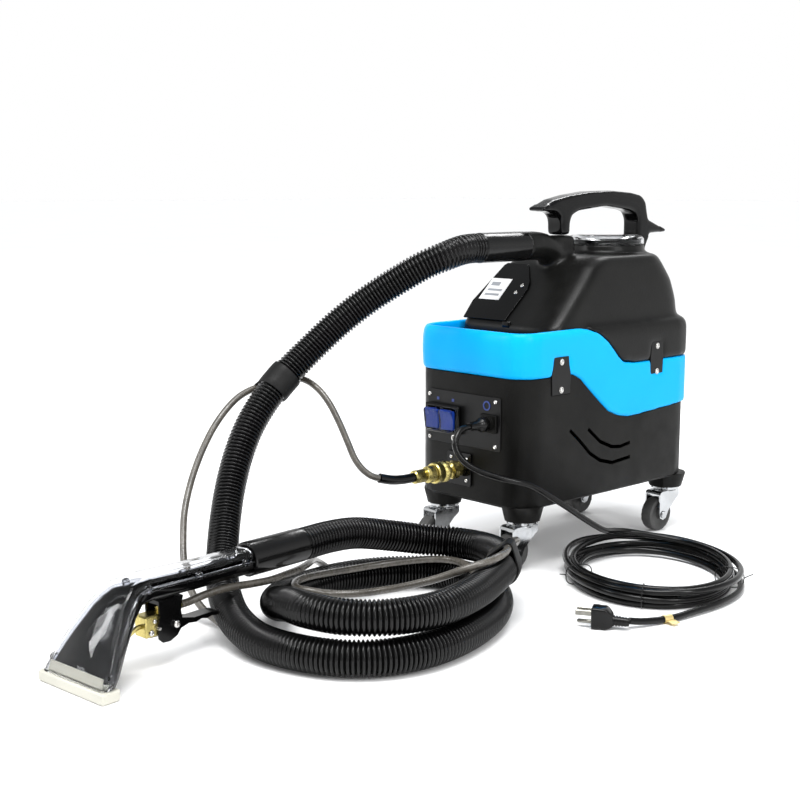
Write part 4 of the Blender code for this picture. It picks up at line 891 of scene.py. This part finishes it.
# ---------------------------------------------------------------- hand wand details
# The window's two edges: (y, z, rise angle, half width) from the head up the tube.
WAND_EDGE = [
    (0.0000, 0.0145, 90.0, 0.0530), (0.0090, 0.0250, 66.0, 0.0495), (0.0220, 0.0450, 56.0, 0.0430),
    (0.0450, 0.0760, 50.0, 0.0310), (0.0630, 0.0900, 25.0, 0.0230), (0.0850, 0.0925, 2.0, 0.0180),
    (0.1500, 0.0905, 0.0, 0.0155), (0.2270, 0.0905, 0.0, 0.0150),
]
FLANGE_RADIUS = 0.0024
flanges = []
for side in (-1, 1):
    edge = smooth_route([(side * (half + 0.0012), y, z) for y, z, _, half in WAND_EDGE], 0.003)
    flange = bmesh.new()
    flange.from_mesh(swept(edge, lambda s: FLANGE_RADIUS, 12))
    flanges.append(flange)
piece("window_flanges", merged(*flanges), CLEAR_EDGE, space=WAND, sharp=60)


def edge_place(y):
    """The window edge's height, rise angle and half width at this y."""
    return tuple(read_off(WAND_EDGE, y, column) for column in (1, 2, 3))


BOSS = [(0.0, 0.0040), (0.0038, 0.0040), (0.0044, 0.0034), (0.0044, -0.0030), (0.0, -0.0030)]
bosses, boss_screws = [], []
for y in (0.0070, 0.0780, 0.1500, 0.2190):
    z, angle, half = edge_place(y)
    off = Vector((0, -sin(radians(angle)), cos(radians(angle))))
    for side in (-1, 1):
        at = Vector((side * (half - 0.0005), y, z)) + off * 0.0012
        bosses.append(moved(turned(BOSS, 24), facing(at, off)))
        boss_screws.append(moved(screw_head(0.0024, 0.0012), facing(at + off * 0.0040, off)))
piece("window_bosses", merged(*bosses), CLEAR_EDGE, space=WAND)
piece("window_screws", merged(*boss_screws), SEAL, space=WAND)
LINING_PLACE = Matrix.Translation((0, -0.0040, 0.0128)) @ Matrix.Rotation(radians(-14), 4, "X")
piece("nozzle_lining",
      moved(box((-0.0450, -0.0012, 0.0), (0.0450, 0.0012, 0.0105), 0.0005, 1), LINING_PLACE),
      WHITE, space=WAND)
# The screws and the adjusting stem on the valve's right side, and the trigger's pivot.
valve_screws = [
    moved(screw_head(0.0034, 0.0024), facing((0.0103, 0.0870, 0.0415), (1, 0, 0))),
    moved(screw_head(0.0026, 0.0020), facing((0.0103, 0.0915, 0.0535), (1, 0, 0))),
    moved(turned([(0.0, 0.0060), (0.0016, 0.0060), (0.0020, 0.0045), (0.0020, 0.0), (0.0, 0.0)], 16),
          facing((0.0103, 0.0940, 0.0460), (1, 0.15, -0.1))),
    moved(screw_head(0.0042, 0.0022), facing((0.0145, 0.1185, 0.0450), (1, 0, 0))),
]
piece("valve_screws", merged(*valve_screws), STEEL, space=WAND)

# ---------------------------------------------------------------- stage and light
FLOOR_HALF = 40.0
ground = bmesh.new()
bmesh.ops.create_grid(ground, x_segments=2, y_segments=2, size=FLOOR_HALF)
floor_data = bpy.data.meshes.new("studio_floor")
ground.to_mesh(floor_data)
ground.free()
floor = bpy.data.objects.new("studio_floor", floor_data)
floor.location.z = -0.0003
bpy.context.scene.collection.objects.link(floor)
floor_data.materials.append(
    surface("floor_white", (0.96, 0.96, 0.96), 0.85, spread=0.008, patch=2.0, level=0.0)
)

world = bpy.data.worlds.new("studio")
bpy.context.scene.world = world
world.use_nodes = True
sky = world.node_tree
sky_place = sky.nodes.new("ShaderNodeTexCoord")
sky_split = sky.nodes.new("ShaderNodeSeparateXYZ")
sky_ramp = sky.nodes.new("ShaderNodeValToRGB")
link(sky, sky_place, "Generated", sky_split, "Vector")
link(sky, sky_split, "Z", sky_ramp, "Fac")
link(sky, sky_ramp, "Color", sky.nodes["Background"], "Color")
sky_ramp.color_ramp.elements[0].position, sky_ramp.color_ramp.elements[1].position = 0.22, 0.62
sky_ramp.color_ramp.elements[0].color = (1, 1, 1, 1)
sky_ramp.color_ramp.elements[1].color = (0.41, 0.42, 0.43, 1)
sky.nodes["Background"].inputs["Strength"].default_value = 1.0
bpy.context.scene.view_settings.view_transform = "Standard"

sun_lamp = bpy.data.lights.new("overhead_wash", "SUN")
sun_lamp.energy, sun_lamp.angle = 1.7, radians(50)
sun = bpy.data.objects.new("overhead_wash", sun_lamp)
sun.rotation_euler = (radians(14), radians(10), 0)
bpy.context.scene.collection.objects.link(sun)

AIM = Vector((0.05, 0.0, 0.20))
LIGHTS = {
    # name: place, width, height, power
    "key_top": ((0.5, -0.5, 2.2), 1.1, 0.45, 26.0),
    "front_left": ((-1.5, -1.9, 1.7), 0.35, 1.2, 20.0),
    "side_right": ((2.2, -0.2, 1.5), 0.35, 1.2, 20.0),
    "back_top": ((-0.9, 1.9, 2.0), 1.4, 0.4, 20.0),
}
for name, (place, wide, high, power) in LIGHTS.items():
    lamp = bpy.data.lights.new(name, "AREA")
    lamp.shape, lamp.size, lamp.size_y, lamp.energy = "RECTANGLE", wide, high, power
    light = bpy.data.objects.new(name, lamp)
    light.location = place
    light.rotation_euler = (AIM - Vector(place)).to_track_quat("-Z", "Y").to_euler()
    bpy.context.scene.collection.objects.link(light)
